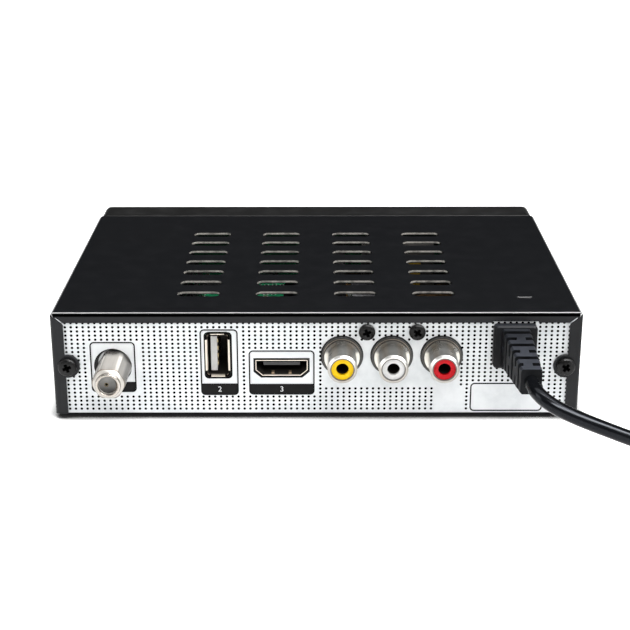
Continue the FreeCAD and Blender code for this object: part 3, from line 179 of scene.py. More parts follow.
class Finish:
    def __init__(self, name, base, other=None, rough=0.4, spread=0.12, metallic=0.0, cloud=300.0, grain=2400.0,
                 bump=0.02, scratch=0.0, scratchColour=None, dust=0.0, specular=None, tint=None):
        self.material = bpy.data.materials.new(name)
        tree = self.tree = cleared(self.material)
        self.place = put(tree, "TexCoord").outputs["Object"]
        group = put(tree, "Group", node_tree=wear)
        tree.links.new(self.place, group.inputs["Vector"])
        group.inputs["Cloud Scale"].default_value = cloud
        group.inputs["Grain Scale"].default_value = grain
        cloudy = group.outputs["Cloud"]
        self.colour = blended(cloudy, base, other or tuple(c * 0.82 for c in base[:3]) + (1,))
        self.rough = span(cloudy, 0.0, 1.0, rough - spread / 2, rough + spread / 2)
        self.metallic = metallic
        self.height = group.outputs["Grain"]
        if scratch:
            marks = times(group.outputs["Scratch"], scratch)
            light = scratchColour or tuple(min(1, c * 2.2 + 0.02) for c in base[:3]) + (1,)
            self.colour = blended(marks, self.colour, light)
            self.rough = plus(self.rough, times(marks, 0.2))
            self.height = minus(self.height, times(marks, 0.5))
        if dust:
            film = times(group.outputs["Dust"], dust)
            self.colour = blended(film, self.colour, dustColour)
            self.rough = plus(self.rough, times(film, 0.35), clamp=True)
        self.bump = bump * mm
        self.constants = (("Specular IOR Level", specular), ("Specular Tint", tint))

    def axis(self, name):
        return part(self.place, name)

    def facing(self, name):
        return part(put(self.tree, "NewGeometry").outputs["Normal"], name)

    def cover(self, mask, colour=None, rough=None, metallic=None):
        if colour is not None:
            self.colour = blended(mask, self.colour, colour)
        for key, value in (("rough", rough), ("metallic", metallic)):
            if value is not None:
                setattr(self, key, mixed(mask, getattr(self, key), value))

    def done(self):
        inputs = {"Base Color": self.colour, "Roughness": self.rough, "Metallic": self.metallic}
        shader = put(self.tree, "BsdfPrincipled", inputs)
        for key, value in self.constants:
            if value is not None:
                shader.inputs[key].default_value = value
        if self.bump:
            relief = put(self.tree, "Bump", {"Height": self.height, "Distance": self.bump, "Strength": 1.0})
            self.tree.links.new(relief.outputs["Normal"], shader.inputs["Normal"])
        put(self.tree, "OutputMaterial", {"Surface": shader.outputs[0]})
        return self.material


def plain(name, base, **values):
    return Finish(name, base, **values).done()


# adds a mesh from a bmesh, riding on a body and in a slot of looks
def makeObject(name, shape, material=None, smooth=False, body="case", replaces=()):
    mesh = bpy.data.meshes.new(name)
    bmesh.ops.recalc_face_normals(shape, faces=shape.faces)
    for face in shape.faces:
        face.smooth = smooth
    shape.to_mesh(mesh)
    shape.free()
    item = addObject(name, mesh)
    if material:
        mesh.materials.append(material)
    if body:
        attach(item, body)
    if replaces:
        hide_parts(*replaces)
    return item


def paint(mesh, material):
    mesh.materials.clear()
    mesh.materials.append(material)


def dress(material, *names):
    for name in names:
        paint(nodes[name].data, material)


# an object's mesh with its modifiers applied, in place of the object
def frozen(item):
    bpy.context.view_layer.update()
    mesh = bpy.data.meshes.new_from_object(item.evaluated_get(bpy.context.evaluated_depsgraph_get()))
    bpy.data.objects.remove(item)
    return mesh


# floor, world and lamps; contact is the reach of the painted contact shadow under what touches the floor
surroundings = {
    "floor": 3.0, "floorDrop": 0.05 * mm, "floorShade": 0.8, "floorGlow": 0.72, "contact": 0.0065,
    "ambient": 0.30, "gloss": 0.02,
    "lamps": [
        # place, aim, size, watts, and whether it lights surfaces, shows in reflections or does both
        ((0.0, -0.02, 0.95), (0, 0, 0), (1.2, 0.6), 6.0, "both"),
        ((0.95, 0.45, 0.40), (0, 0, 0.01), (0.5, 0.6), 3.5, "both"),
        ((-0.95, 0.5, 0.40), (0, 0, 0.01), (0.5, 0.6), 3.5, "both"),
        ((0.0, 1.2, 0.95), (0, 0, 0.01), (1.3, 0.4), 6.6, "light"),
        ((-0.5, 0.2, 0.85), (-0.5, 0.2, 0), (1.3, 0.09), 5.0, "both"),
        ((-0.5, 0.55, 0.80), (-0.1, 0.08, 0), (1.3, 0.26), 28.0, "shine"),
    ],
}


def makeSurroundings():
    spec = surroundings
    shape = bmesh.new()
    bmesh.ops.create_grid(shape, x_segments=1, y_segments=1, size=spec["floor"])
    floor = makeObject("Floor", shape, body=None)
    floor.location.z = -spec["floorDrop"]
    material = bpy.data.materials.new("FloorPaper")
    tree = cleared(material)
    place = put(tree, "TexCoord").outputs["Object"]
    tone = blended(noise(place, 60.0, 4.0), shade(spec["floorShade"]), shade(spec["floorShade"] * 0.985))
    path = put(tree, "LightPath")
    seen = larger(path.outputs["Is Camera Ray"], path.outputs["Is Glossy Ray"])
    # the floor's colour and glow darken close to what stands on it: a painted contact shadow
    near = put(tree, "AmbientOcclusion", {"Distance": spec["contact"]}, samples=8).outputs["AO"]
    share = times(span(near, 0.5, 0.99), spec["floorGlow"])
    tone = blended(span(near, 0.45, 0.72), shade(0.06), tone)
    paper = put(tree, "BsdfDiffuse", {"Color": tone})
    glow = put(tree, "Emission", {"Color": shade(1.0), "Strength": times(seen, share)})
    both = put(tree, "AddShader", {0: paper.outputs[0], 1: glow.outputs[0]})
    put(tree, "OutputMaterial", {"Surface": both.outputs[0]})
    floor.data.materials.append(material)

    world = bpy.data.worlds.new("Studio")
    scene.world = world
    tree = cleared(world)
    path = put(tree, "LightPath")
    level = mixed(path.outputs["Is Glossy Ray"], spec["ambient"], spec["gloss"])
    level = mixed(path.outputs["Is Camera Ray"], level, 1.0)
    sky = put(tree, "Background", {"Color": (1, 1, 1, 1), "Strength": level})
    put(tree, "OutputWorld", {"Surface": sky.outputs[0]})

    for index, (at, aim, size, watts, role) in enumerate(spec["lamps"]):
        lamp = bpy.data.lights.new(f"Softbox{index}", "AREA")
        lamp.shape = "RECTANGLE"
        lamp.size, lamp.size_y = size
        lamp.energy = watts
        item = addObject(f"Softbox{index}", lamp)
        item.location = at
        item.rotation_euler = (Vector(aim) - Vector(at)).to_track_quat("-Z", "Y").to_euler()
        item.visible_camera = False
        item.visible_glossy = role != "light"
        item.visible_diffuse = role != "shine"


makeSurroundings()
print("stage: camera, floor and lamps placed")


# the mains lead: route starts at the exit and tail at the coil's middle
lead = {
    "radius": 2 * mm, "run": 5.5 * mm, "exit": (-57.3 * mm, 74.25 * mm, 21.6 * mm),
    "route": [(3.0, 9.2, 19.6), (8.6, 10.9, 16.9), (18.6, 11.8, 13.0), (33.0, 11.4, 7.2), (49.0, 9.0, 2.8),
              (64.0, 7.7, 2.0), (77.0, 7.9, 2.0)],
    "coil": (-151 * mm, 54.95 * mm),
    "tail": [(-26.8, -6.0, 2.0), (-26.8, -16.0, 2.0), (-26.4, -26.0, 4.4), (-26.2, -35.0, 6.8), (-26.2, -42.0, 6.8)],
    "turnPoints": 16,
    # radius and height of each turn, from the one that the lead enters
    "turns": [(31.2, 2.1), (31.0, 6.3), (27.0, 6.3), (22.8, 6.3), (22.8, 2.1), (27.0, 2.1)],
    "enter": 58.4, "leave": 180.0, "shift": 75.0, "tailAt": (212.0, 20.0),
    # how far the first two turns rise over the tail, and the lead's length
    "hop": 4.2, "length": 1.04,
}


def smoothStep(value):
    value = min(1.0, max(0.0, value))
    return value * value * (3 - 2 * value)


def leadPoints():
    spec = lead
    x, y, z = spec["exit"]
    points = [(x, y, z), (x, y + spec["run"], z)]
    points += [(x - a * mm, y + b * mm, c * mm) for a, b, c in spec["route"]]
    swell = 0.75 + 0.25 * math.cos(2 * math.pi / spec["turnPoints"])  # the curve runs inside its points
    step = 360.0 / spec["turnPoints"]
    angle = spec["enter"] + step
    while angle <= spec["leave"] + 360 * (len(spec["turns"]) - 1) + 0.01:
        past = angle - spec["enter"]
        index = min(int(past // 360), len(spec["turns"]) - 1)
        radius, high = spec["turns"][index]
        if index + 1 < len(spec["turns"]):
            share = smoothStep((past - 360 * index - (360 - spec["shift"])) / spec["shift"])
            nextRadius, nextHigh = spec["turns"][index + 1]
            radius, high = radius + share * (nextRadius - radius), high + share * (nextHigh - high)
        if index < 2:
            away = abs((angle % 360) - spec["tailAt"][0]) / spec["tailAt"][1]
            high += spec["hop"] * smoothStep(2.0 - away)
        turn = math.radians(angle)
        points.append((spec["coil"][0] + radius * mm / swell * math.cos(turn),
                       spec["coil"][1] + radius * mm / swell * math.sin(turn), high * mm))
        angle += step
    points += [(spec["coil"][0] + a * mm, spec["coil"][1] + b * mm, c * mm) for a, b, c in spec["tail"]]
    return points


def makeLead():
    spec = lead
    vinyl = plain("CordVinyl", shade(0.004, (0.9, 1.0, 1.2)), other=shade(0.006, (0.9, 1.0, 1.2)), rough=0.19,
                  spread=0.03, cloud=70, grain=1600, bump=0.001, scratch=0.03, specular=0.18,
                  tint=(0.86, 0.91, 1.0, 1.0))
    curve = bpy.data.curves.new("MainsLead", "CURVE")
    curve.dimensions = "3D"
    curve.bevel_depth = spec["radius"]
    curve.bevel_resolution = 5
    curve.use_fill_caps = True
    curve.resolution_u = 8
    spline = curve.splines.new("NURBS")
    points = leadPoints()
    spline.points.add(len(points) - 1)
    for item, at in zip(spline.points, points):
        item.co = (*at, 1.0)
    spline.order_u = 3
    spline.use_endpoint_u = True
    curve.materials.append(vinyl)
    cord = addObject("MainsLead", curve)
    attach(cord, "case")
    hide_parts("power_cord", "power_cord_coil", "power_cord_tail")


makeLead()
print("stage: mains lead laid")


# first is how far the first row of slots lies from the rear edge, rim how far the paint's wear and a painted
# highlight reach into and out of a slot, and bareDepth where below the top a slot's wall turns from painted shade
# to bright bare steel
topCover = {
    "columns": 4, "rows": 7, "pitch": (22.8 * mm, 9.88 * mm), "slot": (12.5 * mm, 4.2 * mm), "first": 17 * mm,
    "rim": (0.4 * mm, 0.09 * mm), "bareDepth": (0.62 * mm, 0.48 * mm),
    # X from and to, and distances from and to the rear edge
    "slit": (-62.4 * mm, -58.2 * mm, 14.25 * mm, 13.95 * mm),
    "bend": 1.1 * mm, "frontEdgeHighlight": (-0.2 * mm, 0.16 * mm, 0.9 * mm), "corner": (69.3 * mm, 69.9 * mm),
    # angles from and to round the rear and the side fold, level, and scale of the noise that varies the painted
    # highlight along it
    "foldHighlights": ((74, 101, 0.92, (16, 60, 60)), (48, 70, 0.34, (60, 16, 60))),
}


def coverLook():
    spec = topCover
    look = Finish("CoverPaint", shade(0.0054, (0.9, 1.0, 1.25)), shade(0.0046, (0.9, 1.0, 1.25)), spread=0.05,
                  cloud=9, grain=2600, bump=0.004, scratch=0.07, dust=0.012, specular=0.25)
    place = look.place
    x, y, z = (look.axis(a) for a in "XYZ")
    streaks = span(noise(stretched(place, (22, 1500, 300)), 1.0, 3.0), 0.3, 0.75, 0.0, 0.5)
    look.colour = blended(streaks, look.colour, shade(0.0090, (0.92, 1.0, 1.2)))
    # bare steel on the cut walls of the slots, under painted shade in their lower part and at each slot's -X end;
    # round their rims the paint's wear, with a painted highlight on their far half
    pitchX, pitchY = spec["pitch"]
    length, width = spec["slot"]
    firstY, reach = rearY - spec["first"], spec["columns"] / 2 * pitchX
    inField = times(within(y, firstY - (spec["rows"] - 0.5) * pitchY, firstY + 0.5 * pitchY, 0.1 * mm),
                    within(x, -reach, reach, 0.1 * mm))
    signed = minus(calc("WRAP", x, pitchX, 0.0), pitchX / 2)
    cellX = absolute(signed)
    cellY = minus(calc("WRAP", minus(y, firstY - pitchY / 2), pitchY, 0.0), pitchY / 2)
    along = larger(minus(cellX, length / 2 - width / 2), 0.0)
    rimIn, rimOut = spec["rim"]
    rim = within(distance(along, cellY), width / 2 - rimIn, width / 2 + rimOut, 0.04 * mm)
    # the painted highlight keeps to each rim's far half, away from the -X end
    litFarSide = times(span(cellY, -1.2 * mm, -0.2 * mm, 1.0, 0.0), span(signed, -5.8 * mm, -5.0 * mm))
    # no bare steel at each slot's -X end, which stays dark as painted shade
    inner = span(signed, -6.0 * mm, -5.5 * mm)
    wall = under(absolute(look.facing("Z")), 0.5)
    inSheet = times(inField, over(z, topZ - steel * 1.05))
    patchy = span(noise(place, 500.0, 4.0), 0.3, 0.65, 0.35, 1.0)
    # the wall is dark below bareDepth: painted shade
    high = span(z, *(topZ - depth for depth in spec["bareDepth"]))
    steelWithPaintedLight = blended(high, shade(0.02), shade(0.52, (1.0, 0.955, 0.88)))
    look.cover(times(wall, inSheet, patchy, inner), steelWithPaintedLight, 0.45, 0.2)
    rimWearAndHighlight = times(rim, inSheet, minus(1.0, wall), span(noise(place, 260.0, 3.0), 0.35, 0.6, 0.25, 0.95))
    look.cover(times(rimWearAndHighlight, litFarSide, 0.3), shade(0.20, (1.0, 0.98, 0.94)), 0.3, 0.4)
    # the lanced slit near a corner
    x0, x1, far, near = spec["slit"]
    slit = times(within(x, x0, x1, 0.08 * mm), within(y, rearY - far, rearY - near, 0.08 * mm))
    look.cover(slit, shade(0.40), 0.35, 0.2)
    # a painted highlight along the front edge of the sheet, brightest at its corners
    edgeLow, edgeHigh, edgeDepth = spec["frontEdgeHighlight"]
    edge = times(within(y, frontY + edgeLow, frontY + edgeHigh, 0.05 * mm), over(z, topZ - edgeDepth))
    corner = span(absolute(x), *spec["corner"])
    look.cover(edge, blended(corner, shade(0.10), shade(0.85)), 0.35, 0.2)
    # painted highlights along the rear fold and each side fold, and a painted dark reflection under the rear one
    pastRear = minus(y, rearY - spec["bend"])
    pastSide = minus(absolute(x), caseWidth / 2 - spec["bend"])
    aboveBend = minus(z, topZ - spec["bend"])
    below = times(over(pastRear, 0.02 * mm), between(calc("ARCTAN2", aboveBend, pastRear), 14, 58, 0.07))
    look.cover(below, shade(0.0), 0.8, 1.0)
    for past, (low, high, level, scale) in zip((pastRear, pastSide), spec["foldHighlights"]):
        line = times(over(past, -0.4 * mm), between(calc("ARCTAN2", aboveBend, past), low, high, 0.07),
                     span(noise(stretched(place, scale), 1.0, 3.0), 0.25, 0.6, 0.55, 1.0))
        look.cover(line, shade(level), 0.3, 0.3)
    return look.done()


def traySteelLook():
    look = Finish("TraySteel", shade(0.50, (0.97, 1.0, 1.04)), shade(0.40, (0.97, 1.0, 1.05)), rough=0.42, spread=0.2,
                  metallic=0.85, cloud=160, grain=1400, bump=0.006, scratch=0.2)
    rear = times(over(look.facing("Y"), 0.6), over(look.axis("Y"), panelY - 0.1 * mm))
    mottle = noise(look.place, 300.0, 5.0, 0.65)
    sheen = noise(stretched(look.place, (60, 60, 110)), 1.0, 2.0, 0.5)
    silver = blended(span(mottle, 0.3, 0.7), shade(0.70, (0.965, 1.0, 1.02)), shade(0.78, (0.97, 1.0, 1.015)))
    silver = blended(span(sheen, 0.35, 0.7, 0.0, 0.7), silver, shade(0.84, (0.985, 1.0, 1.01)))
    look.cover(rear, silver, 0.5, 0.25)
    # the cut edges of the ports, in shade
    cut = times(under(absolute(look.facing("Y")), 0.5), over(look.axis("Y"), panelY - steel * 1.02),
                within(look.axis("Z"), 3 * mm, 29.6 * mm, 0.3 * mm))
    look.cover(cut, shade(0.02), 0.5, 0.4)
    return look.done()


dress(coverLook(), "top_cover")
dress(traySteelLook(), "chassis")

# looks without a pattern of their own: values, then the nodes that wear them; bump is in millimetres
simple = {
    "FrontPlastic": (dict(base=shade(0.009), other=shade(0.011), rough=0.42, spread=0.06, cloud=30, grain=2200,
        bump=0.012, scratch=0.1, dust=0.04, specular=0.35), "front_panel"),
    "WindowPlastic": (dict(base=shade(0.0022, (1.3, 0.9, 0.9)), rough=0.05, spread=0.03, cloud=35, grain=1500, bump=0,
        scratch=0.05), "display_window"),
    "ButtonPlastic": (dict(base=shade(0.02), other=shade(0.028), rough=0.38, spread=0.14, cloud=120, bump=0.01,
        scratch=0.15), "channel_down_button channel_up_button standby_button"),
    "FootRubber": (dict(base=shade(0.02), other=shade(0.032), rough=0.85, grain=3000, bump=0.04, dust=0.2),
        "foot_front_left foot_front_right foot_rear_left foot_rear_right"),
    "BlackPlastic": (dict(base=shade(0.012), other=shade(0.02), rough=0.45, cloud=200, grain=2500, dust=0.15),
        "led_display tact_switches jack_block processor_chip memory_chips "
        "ir_receiver mains_choke bulk_capacitor output_capacitors ribbon_headers"),
    "WhitePlastic": (dict(base=shade(0.78, (1, 0.99, 0.96)), rough=0.35, cloud=150, grain=1800, bump=0.01,
        dust=0.1), "mains_header supply_headers status_led"),
    # the USB tongue, a darker copy of the white plastic: painted shade inside its port
    "TonguePlasticShaded": (dict(base=shade(0.60, (1, 0.99, 0.97)), rough=0.35, cloud=150, grain=1800, bump=0.01,
        dust=0.1), "usb_tongue"),
    "TinPlate": (dict(base=shade(0.6), rough=0.3, metallic=1.0, cloud=140, grain=1500, bump=0.01, scratch=0.4),
        "tuner_can"),
    "ContactMetal": (dict(base=shade(0.6, (1.0, 0.8, 0.45)), rough=0.28, metallic=1.0, scratch=0.3),
        "usb_contacts plug_pins"),
    # the aerial contact, a darker copy of the contact gold: painted shade in its recess
    "AerialContact": (dict(base=shade(0.14, (1.0, 0.78, 0.45)), metallic=0.9), "aerial_contact"),
    # the jack contacts near black: painted shade inside the jacks
    "SocketSleeveShaded": (dict(base=shade(0.010, (1.0, 0.8, 0.6)), rough=0.5, metallic=0.3), "jack_contacts"),
    "SinkMetal": (dict(base=shade(0.02), other=shade(0.03), rough=0.45, metallic=0.6, cloud=120, grain=1600,
        scratch=0.3, dust=0.1), "heat_sink"),
    "ScrewSteel": (dict(base=shade(0.55), rough=0.3, metallic=1.0, grain=2000, scratch=0.3), "board_screws"),
    "JackYellow": (dict(base=(0.95, 0.62, 0.004, 1), other=(0.90, 0.56, 0.003, 1), rough=0.35, bump=0.004,
        specular=0.2), "jack_insulator_yellow"),
    "JackWhite": (dict(base=shade(0.8, (1, 0.99, 0.98)), rough=0.3), "jack_insulator_white"),
    "JackRed": (dict(base=(0.62, 0.003, 0.010, 1), other=(0.52, 0.002, 0.008, 1), rough=0.35, bump=0.004,
        specular=0.2), "jack_insulator_red"),
    "HdmiTongue": (dict(base=shade(0.03), other=shade(0.043), rough=0.5, grain=2500), "hdmi_tongue"),
    "PlugVinyl": (dict(base=shade(0.0065, (0.9, 1.0, 1.2)), other=shade(0.009, (0.9, 1.0, 1.2)), rough=0.42,
        spread=0.1, cloud=150, grain=3000, bump=0.006, scratch=0.1, dust=0.03, specular=0.28), "plug_body"),
    "Ferrite": (dict(base=shade(0.05, (1, 0.9, 0.82)), rough=0.6, cloud=250, grain=1500, bump=0.04),
        "transformer_core"),
    "WindingTape": (dict(base=(0.24, 0.15, 0.015, 1), rough=0.3, cloud=200, grain=900), "transformer_winding"),
    "FuseGlass": (dict(base=shade(0.7), rough=0.15, cloud=200, grain=900, bump=0), "fuse"),
    "WireInsulation": (dict(base=(0.03, 0.03, 0.035, 1), cloud=200, grain=1500),
        "mains_wires ribbon_cable supply_cable"),
    "BoardGreen": (dict(base=(0.012, 0.22, 0.07, 1), other=(0.01, 0.16, 0.05, 1), rough=0.35, cloud=180, grain=900),
        "front_board"),
    "BoardBrown": (dict(base=(0.11, 0.06, 0.02, 1), other=(0.09, 0.05, 0.018, 1), rough=0.5, cloud=120, grain=900),
        "power_board"),
}
for name, (values, members) in simple.items():
    dress(plain(name, **values), *members.split())


# X and Z, half the width across flats and across the rounded corners, points round the bar
aerial = {
    "at": (57.4, 15.95), "flat": 4.36, "corner": 4.72, "steps": 96,
    # distance out from the rear rim, radius or change of radius, share of the six-sided form
    "stations": [(-2.6, 0, 1), (-1.0, 0, 1), (11.9, 0, 1), (12.15, -0.01, 0.8), (12.3, -0.04, 0.4), (12.42, 4.24, 0),
                 (12.6, 4.12, 0), (12.8, 3.96, 0), (13.0, 3.78, 0), (13.15, 3.6, 0), (13.2, 3.48, 0), (13.4, 3.46, 0),
                 (13.6, 3.42, 0), (13.74, 3.32, 0), (13.8, 3.14, 0), (13.8, 2.86, 0), (13.74, 2.76, 0),
                 (13.55, 2.7, 0), (12.2, 2.66, 0)],
    # angles from and to, softness and level of the lights along the flats
    "lights": [(-27, 24, 0.10, 0.60), (-37, -24, 0.06, 0.98), (26, 34, 0.05, 0.72), (-64, -40, 0.12, 0.46),
               (40, 75, 0.15, 0.42)],
    # distances out of the turned end's parts, and radius from and to and level of the rings of painted shade and
    # highlight on its face
    "turned": (12.4, 12.65), "groove": (12.12, 12.36), "bevel": (12.36, 13.13), "face": (13.12, 13.18),
    "rings": [(2.6, 2.76, 0.16), (2.9, 3.1, 0.42), (3.42, 3.6, 0.22)],
    # the hole in the contact, filled by a black cylinder of painted shade: X and Z, radius, depth, and how far
    # out its middle lies
    "hole": ((57.9, 15.85), 0.41, 6, 9.3),
}

# box and out are X from and to and Z from and to of a port's opening and of the black ring of painted shade
# behind it, lip is the lips' thickness and how far they stand out, and mouth the outer and the inner loop of a
# dark line of painted shade round the opening
ports = {
    "usb": {"box": (24.65, 31.35, 12.8, 25.8), "out": (23.6, 32.4, 11.8, 26.8), "lip": (0.22, 0.30),
            "mouth": ((23.9, 31.86, 12.1, 26.25, 1.2, 1.2), (24.3, 31.7, 12.45, 26.1, 1.45, 1.45))},
    "hdmi": {"x": 9.9, "low": 12.8, "width": 15.1, "height": 5.1, "chamfer": (2.1, 1.8),
             "out": (0.6, 19.2, 11.7, 18.9)},
    "jacks": [(-7.25, 19.1), (-21.4, 19.1), (-35.55, 19.1)], "jackScrews": [(-14.3, 26.3), (-28.5, 26.3)],
    # radii of the aerial's black ring of painted shade, how far behind the sheet all these black rings lie, and where
    # the bright line inside the video port's edge lies, the shell's rim brightened as a painted highlight
    "aerialGapShade": (7.2, 4.95), "gapShade": (0.9, 0.1), "outline": (-0.36, -0.16),
    # X of each spring tab, how far behind the panel, Z, and the tabs' size
    "tabs": {"at": (12.4, 7.5), "behind": 1.3, "z": 13.55, "size": (0.8, 1.6, 0.45)},
}


def insulatorLook():
    look = Finish("AerialInsulator", shade(0.30, (1.02, 1.0, 0.95)), shade(0.26, (1.02, 1.0, 0.95)), rough=0.6,
                  cloud=500, grain=2500, bump=0.005)
    high = minus(look.axis("Z"), aerial["at"][1] * mm)
    # painted shade: the face darkens towards the bottom
    look.cover(span(high, 0.2 * mm, 1.9 * mm, 0.45, 0.0), shade(0.02))
    look.cover(span(high, -2.1 * mm, 0.4 * mm, 0.85, 0.0), shade(0.015))
    return look.done()


def portShellLook():
    look = Finish("PortShell", shade(0.60, (1.0, 0.92, 0.80)), shade(0.50, (1.0, 0.91, 0.78)), rough=0.3, metallic=1.0,
                  bump=0.003, scratch=0.4)
    x, y, z = (look.axis(a) for a in "XYZ")
    # how far outside the outline a point is, for each of the two shells
    x0, x1, z0, z1 = (value * mm for value in ports["usb"]["box"])
    first = larger(minus(absolute(minus(x, (x0 + x1) / 2)), (x1 - x0) / 2),
                   minus(absolute(minus(z, (z0 + z1) / 2)), (z1 - z0) / 2))
    hdmi = ports["hdmi"]
    half, low, high = hdmi["width"] / 2 * mm, hdmi["low"] * mm, (hdmi["low"] + hdmi["height"]) * mm
    side = absolute(minus(x, hdmi["x"] * mm))
    run, rise = (value * mm for value in hdmi["chamfer"])
    long = math.hypot(run, rise)
    slope = minus(times(minus(side, half - run), rise / long), times(minus(z, low), run / long))
    second = larger(larger(minus(side, half), minus(z, high)), larger(minus(low, z), slope))
    usb = over(x, 22 * mm)
    inner, outer = (value * mm for value in ports["outline"])
    # painted highlight on the video shell's rim, and painted shade, near black, on the rest of the shells' front
    line = times(within(mixed(usb, second, first), inner, outer, 0.03 * mm), minus(1.0, usb))
    look.cover(line, shade(0.90, (1.0, 0.90, 0.77)), 0.35, 0.4)
    dark = times(minus(1.0, line), over(y, panelY - 0.8 * mm))
    look.cover(dark, shade(0.003, (1.0, 0.9, 0.8)), 0.7, 1.0)
    # deeper in, painted shade, lighter at the top of the USB port as painted light
    inside = span(y, panelY - 0.75 * mm, panelY - 0.35 * mm, 1.0, 0.0)
    lit = times(usb, span(z, 18.5 * mm, 21 * mm))
    look.cover(inside, blended(lit, shade(0.022, (1.0, 0.84, 0.66)), shade(0.10, (1.0, 0.90, 0.82))), 0.6, 0.3)
    return look.done()


# radii on a phono jack's two faces, how long its step and its rim are, and angles from straight up, in degrees, of
# its painted highlights and of a brownish band
jack = {
    "stepRing": (4.93, 5.03), "stepArc": (5.2, 5.36), "step": 0.9, "rim": (0.9, 0.7), "rimRing": (3.0, 3.38),
    "mouth": 3.2, "flankHighlight": (70, 128), "brown": (20, 46),
}


def jackLook():
    spec = jack
    look = Finish("JackSteel", shade(0.22, (1.0, 0.985, 0.93)), shade(0.17, (1.0, 0.98, 0.92)), rough=0.3, spread=0.06,
                  metallic=0.75, cloud=150, bump=0.001, scratch=0.08)
    middle, high = ports["jacks"][1]
    half = (ports["jacks"][0][0] - middle) / 2 * mm
    across = calc("WRAP", minus(look.axis("X"), middle * mm), half, -half)
    up = minus(look.axis("Z"), high * mm)
    away = distance(across, up)
    turn = absolute(calc("ARCTAN2", across, up))
    # painted highlights down the flanks, leaving the top darker, and a brownish band a little off the top
    look.cover(between(turn, *spec["flankHighlight"], 0.13), shade(0.72, (1.0, 0.965, 0.88)), 0.3, 0.55)
    look.cover(times(between(turn, *spec["brown"], 0.14), 0.4), shade(0.32, (1.0, 0.82, 0.62)))
    # the step at the panel, darker beyond its ring and with a curved painted highlight across its top, then the rim
    # of the open end
    y = look.axis("Y")
    low = under(y, rearY + spec["step"] * mm)
    stepRing, stepArc, rimRing = ([value * mm for value in spec[k]] for k in ("stepRing", "stepArc", "rimRing"))
    look.cover(times(span(away, *stepRing), low), shade(0.06, (1.0, 0.98, 0.93)), 0.4, 0.7)
    highlightArc = times(within(away, *stepArc, 0.05 * mm), span(turn, 0.9, 1.6, 1.0, 0.0))
    look.cover(times(highlightArc, low), shade(0.32, (1.0, 0.84, 0.66)), 0.35, 0.6)
    # the rim: a painted highlight across its top, a darker brownish ring, and painted shade inside the mouth
    rim = span(y, *(jackEnd - value * mm for value in spec["rim"]))
    steelWithPaintedLight = blended(span(turn, 1.0, 1.6), shade(0.72, (1.0, 0.98, 0.94)), shade(0.40, (1.0, 0.94, 0.85)))
    look.cover(rim, steelWithPaintedLight, 0.28, 0.75)
    look.cover(times(rim, within(away, *rimRing, 0.05 * mm)), shade(0.14, (1.0, 0.86, 0.72)), 0.4, 0.5)
    look.cover(under(away, spec["mouth"] * mm), shade(0.10), 0.4)
    return look.done()


def reliefLook():
    look = Finish("ReliefVinyl", shade(0.004, (0.88, 1.0, 1.25)), shade(0.0055, (0.88, 1.0, 1.25)), rough=0.45,
                  spread=0.06, cloud=150, grain=3000, bump=0.004, scratch=0.06, specular=0.15)
    # painted light on up-facing faces, weaker near the flange as painted shade
    paintedTopLight = times(span(look.facing("Z"), 0.45, 0.92), span(noise(look.place, 260.0, 4.0), 0.25, 0.7, 0.7, 1.0),
                  span(look.axis("Y"), rearY + 4 * mm, rearY + 15 * mm, 0.4, 1.0))
    look.cover(paintedTopLight, shade(0.05, (0.9, 1.0, 1.24)), 0.55)
    return look.done()


# a cell is bare below one chance and its part dark above another; ends and body are shares of a cell in X
board = {
    "cell": (2.6 * mm, 1.9 * mm), "bare": 0.66, "dark": 0.83, "ends": (0.18, 0.82), "body": (0.34, 0.66),
    "across": (0.28, 0.72), "runs": 260.0, "turn": (0, 0, 0.785),
}


def boardLook():
    spec = board
    look = Finish("BoardGreen", (0.012, 0.34, 0.13, 1), (0.01, 0.26, 0.10, 1), rough=0.35, cloud=180, grain=900,
                  bump=0.01)
    tree = look.tree
    # copper runs under the lacquer
    runs = put(tree, "TexWave", {"Vector": stretched(look.place, (1, 1, 1), spec["turn"]), "Scale": spec["runs"],
                                 "Distortion": 14.0, "Detail": 1.0, "Detail Scale": 0.4}, wave_type="BANDS")
    look.cover(times(span(runs.outputs[0], 0.62, 0.74), 0.6), (0.03, 0.42, 0.17, 1))
    # small parts and their solder, one to a cell of a loose grid
    wide, tall = spec["cell"]
    cell = put(tree, "VectorMath", {0: look.place, 1: (1 / wide, 1 / tall, 0.0)}, operation="MULTIPLY").outputs[0]
    corner = put(tree, "VectorMath", {0: cell}, operation="FLOOR").outputs[0]
    chance = put(tree, "TexWhiteNoise", {"Vector": corner}, noise_dimensions="3D").outputs[0]
    inside = put(tree, "VectorMath", {0: cell}, operation="FRACTION").outputs[0]
    inX, inY = part(inside, "X"), within(part(inside, "Y"), *spec["across"], 0.02)
    shown = times(over(chance, spec["bare"]), over(look.facing("Z"), 0.5))
    look.cover(times(within(inX, *spec["ends"], 0.02), inY, shown), shade(0.85, (1, 0.99, 0.95)), 0.3, 0.3)
    bodies = blended(over(chance, spec["dark"]), shade(0.02), (0.42, 0.27, 0.14, 1))
    look.cover(times(within(inX, *spec["body"], 0.02), inY, shown), bodies, 0.4, 0.0)
    return look.done()


dress(insulatorLook(), "aerial_insulator")
dress(portShellLook(), "usb_shell", "hdmi_shell")
dress(jackLook(), "jack_shell_yellow", "jack_shell_white", "jack_shell_red")
dress(reliefLook(), "strain_relief")
dress(boardLook(), "main_board")
print("stage: looks assigned")


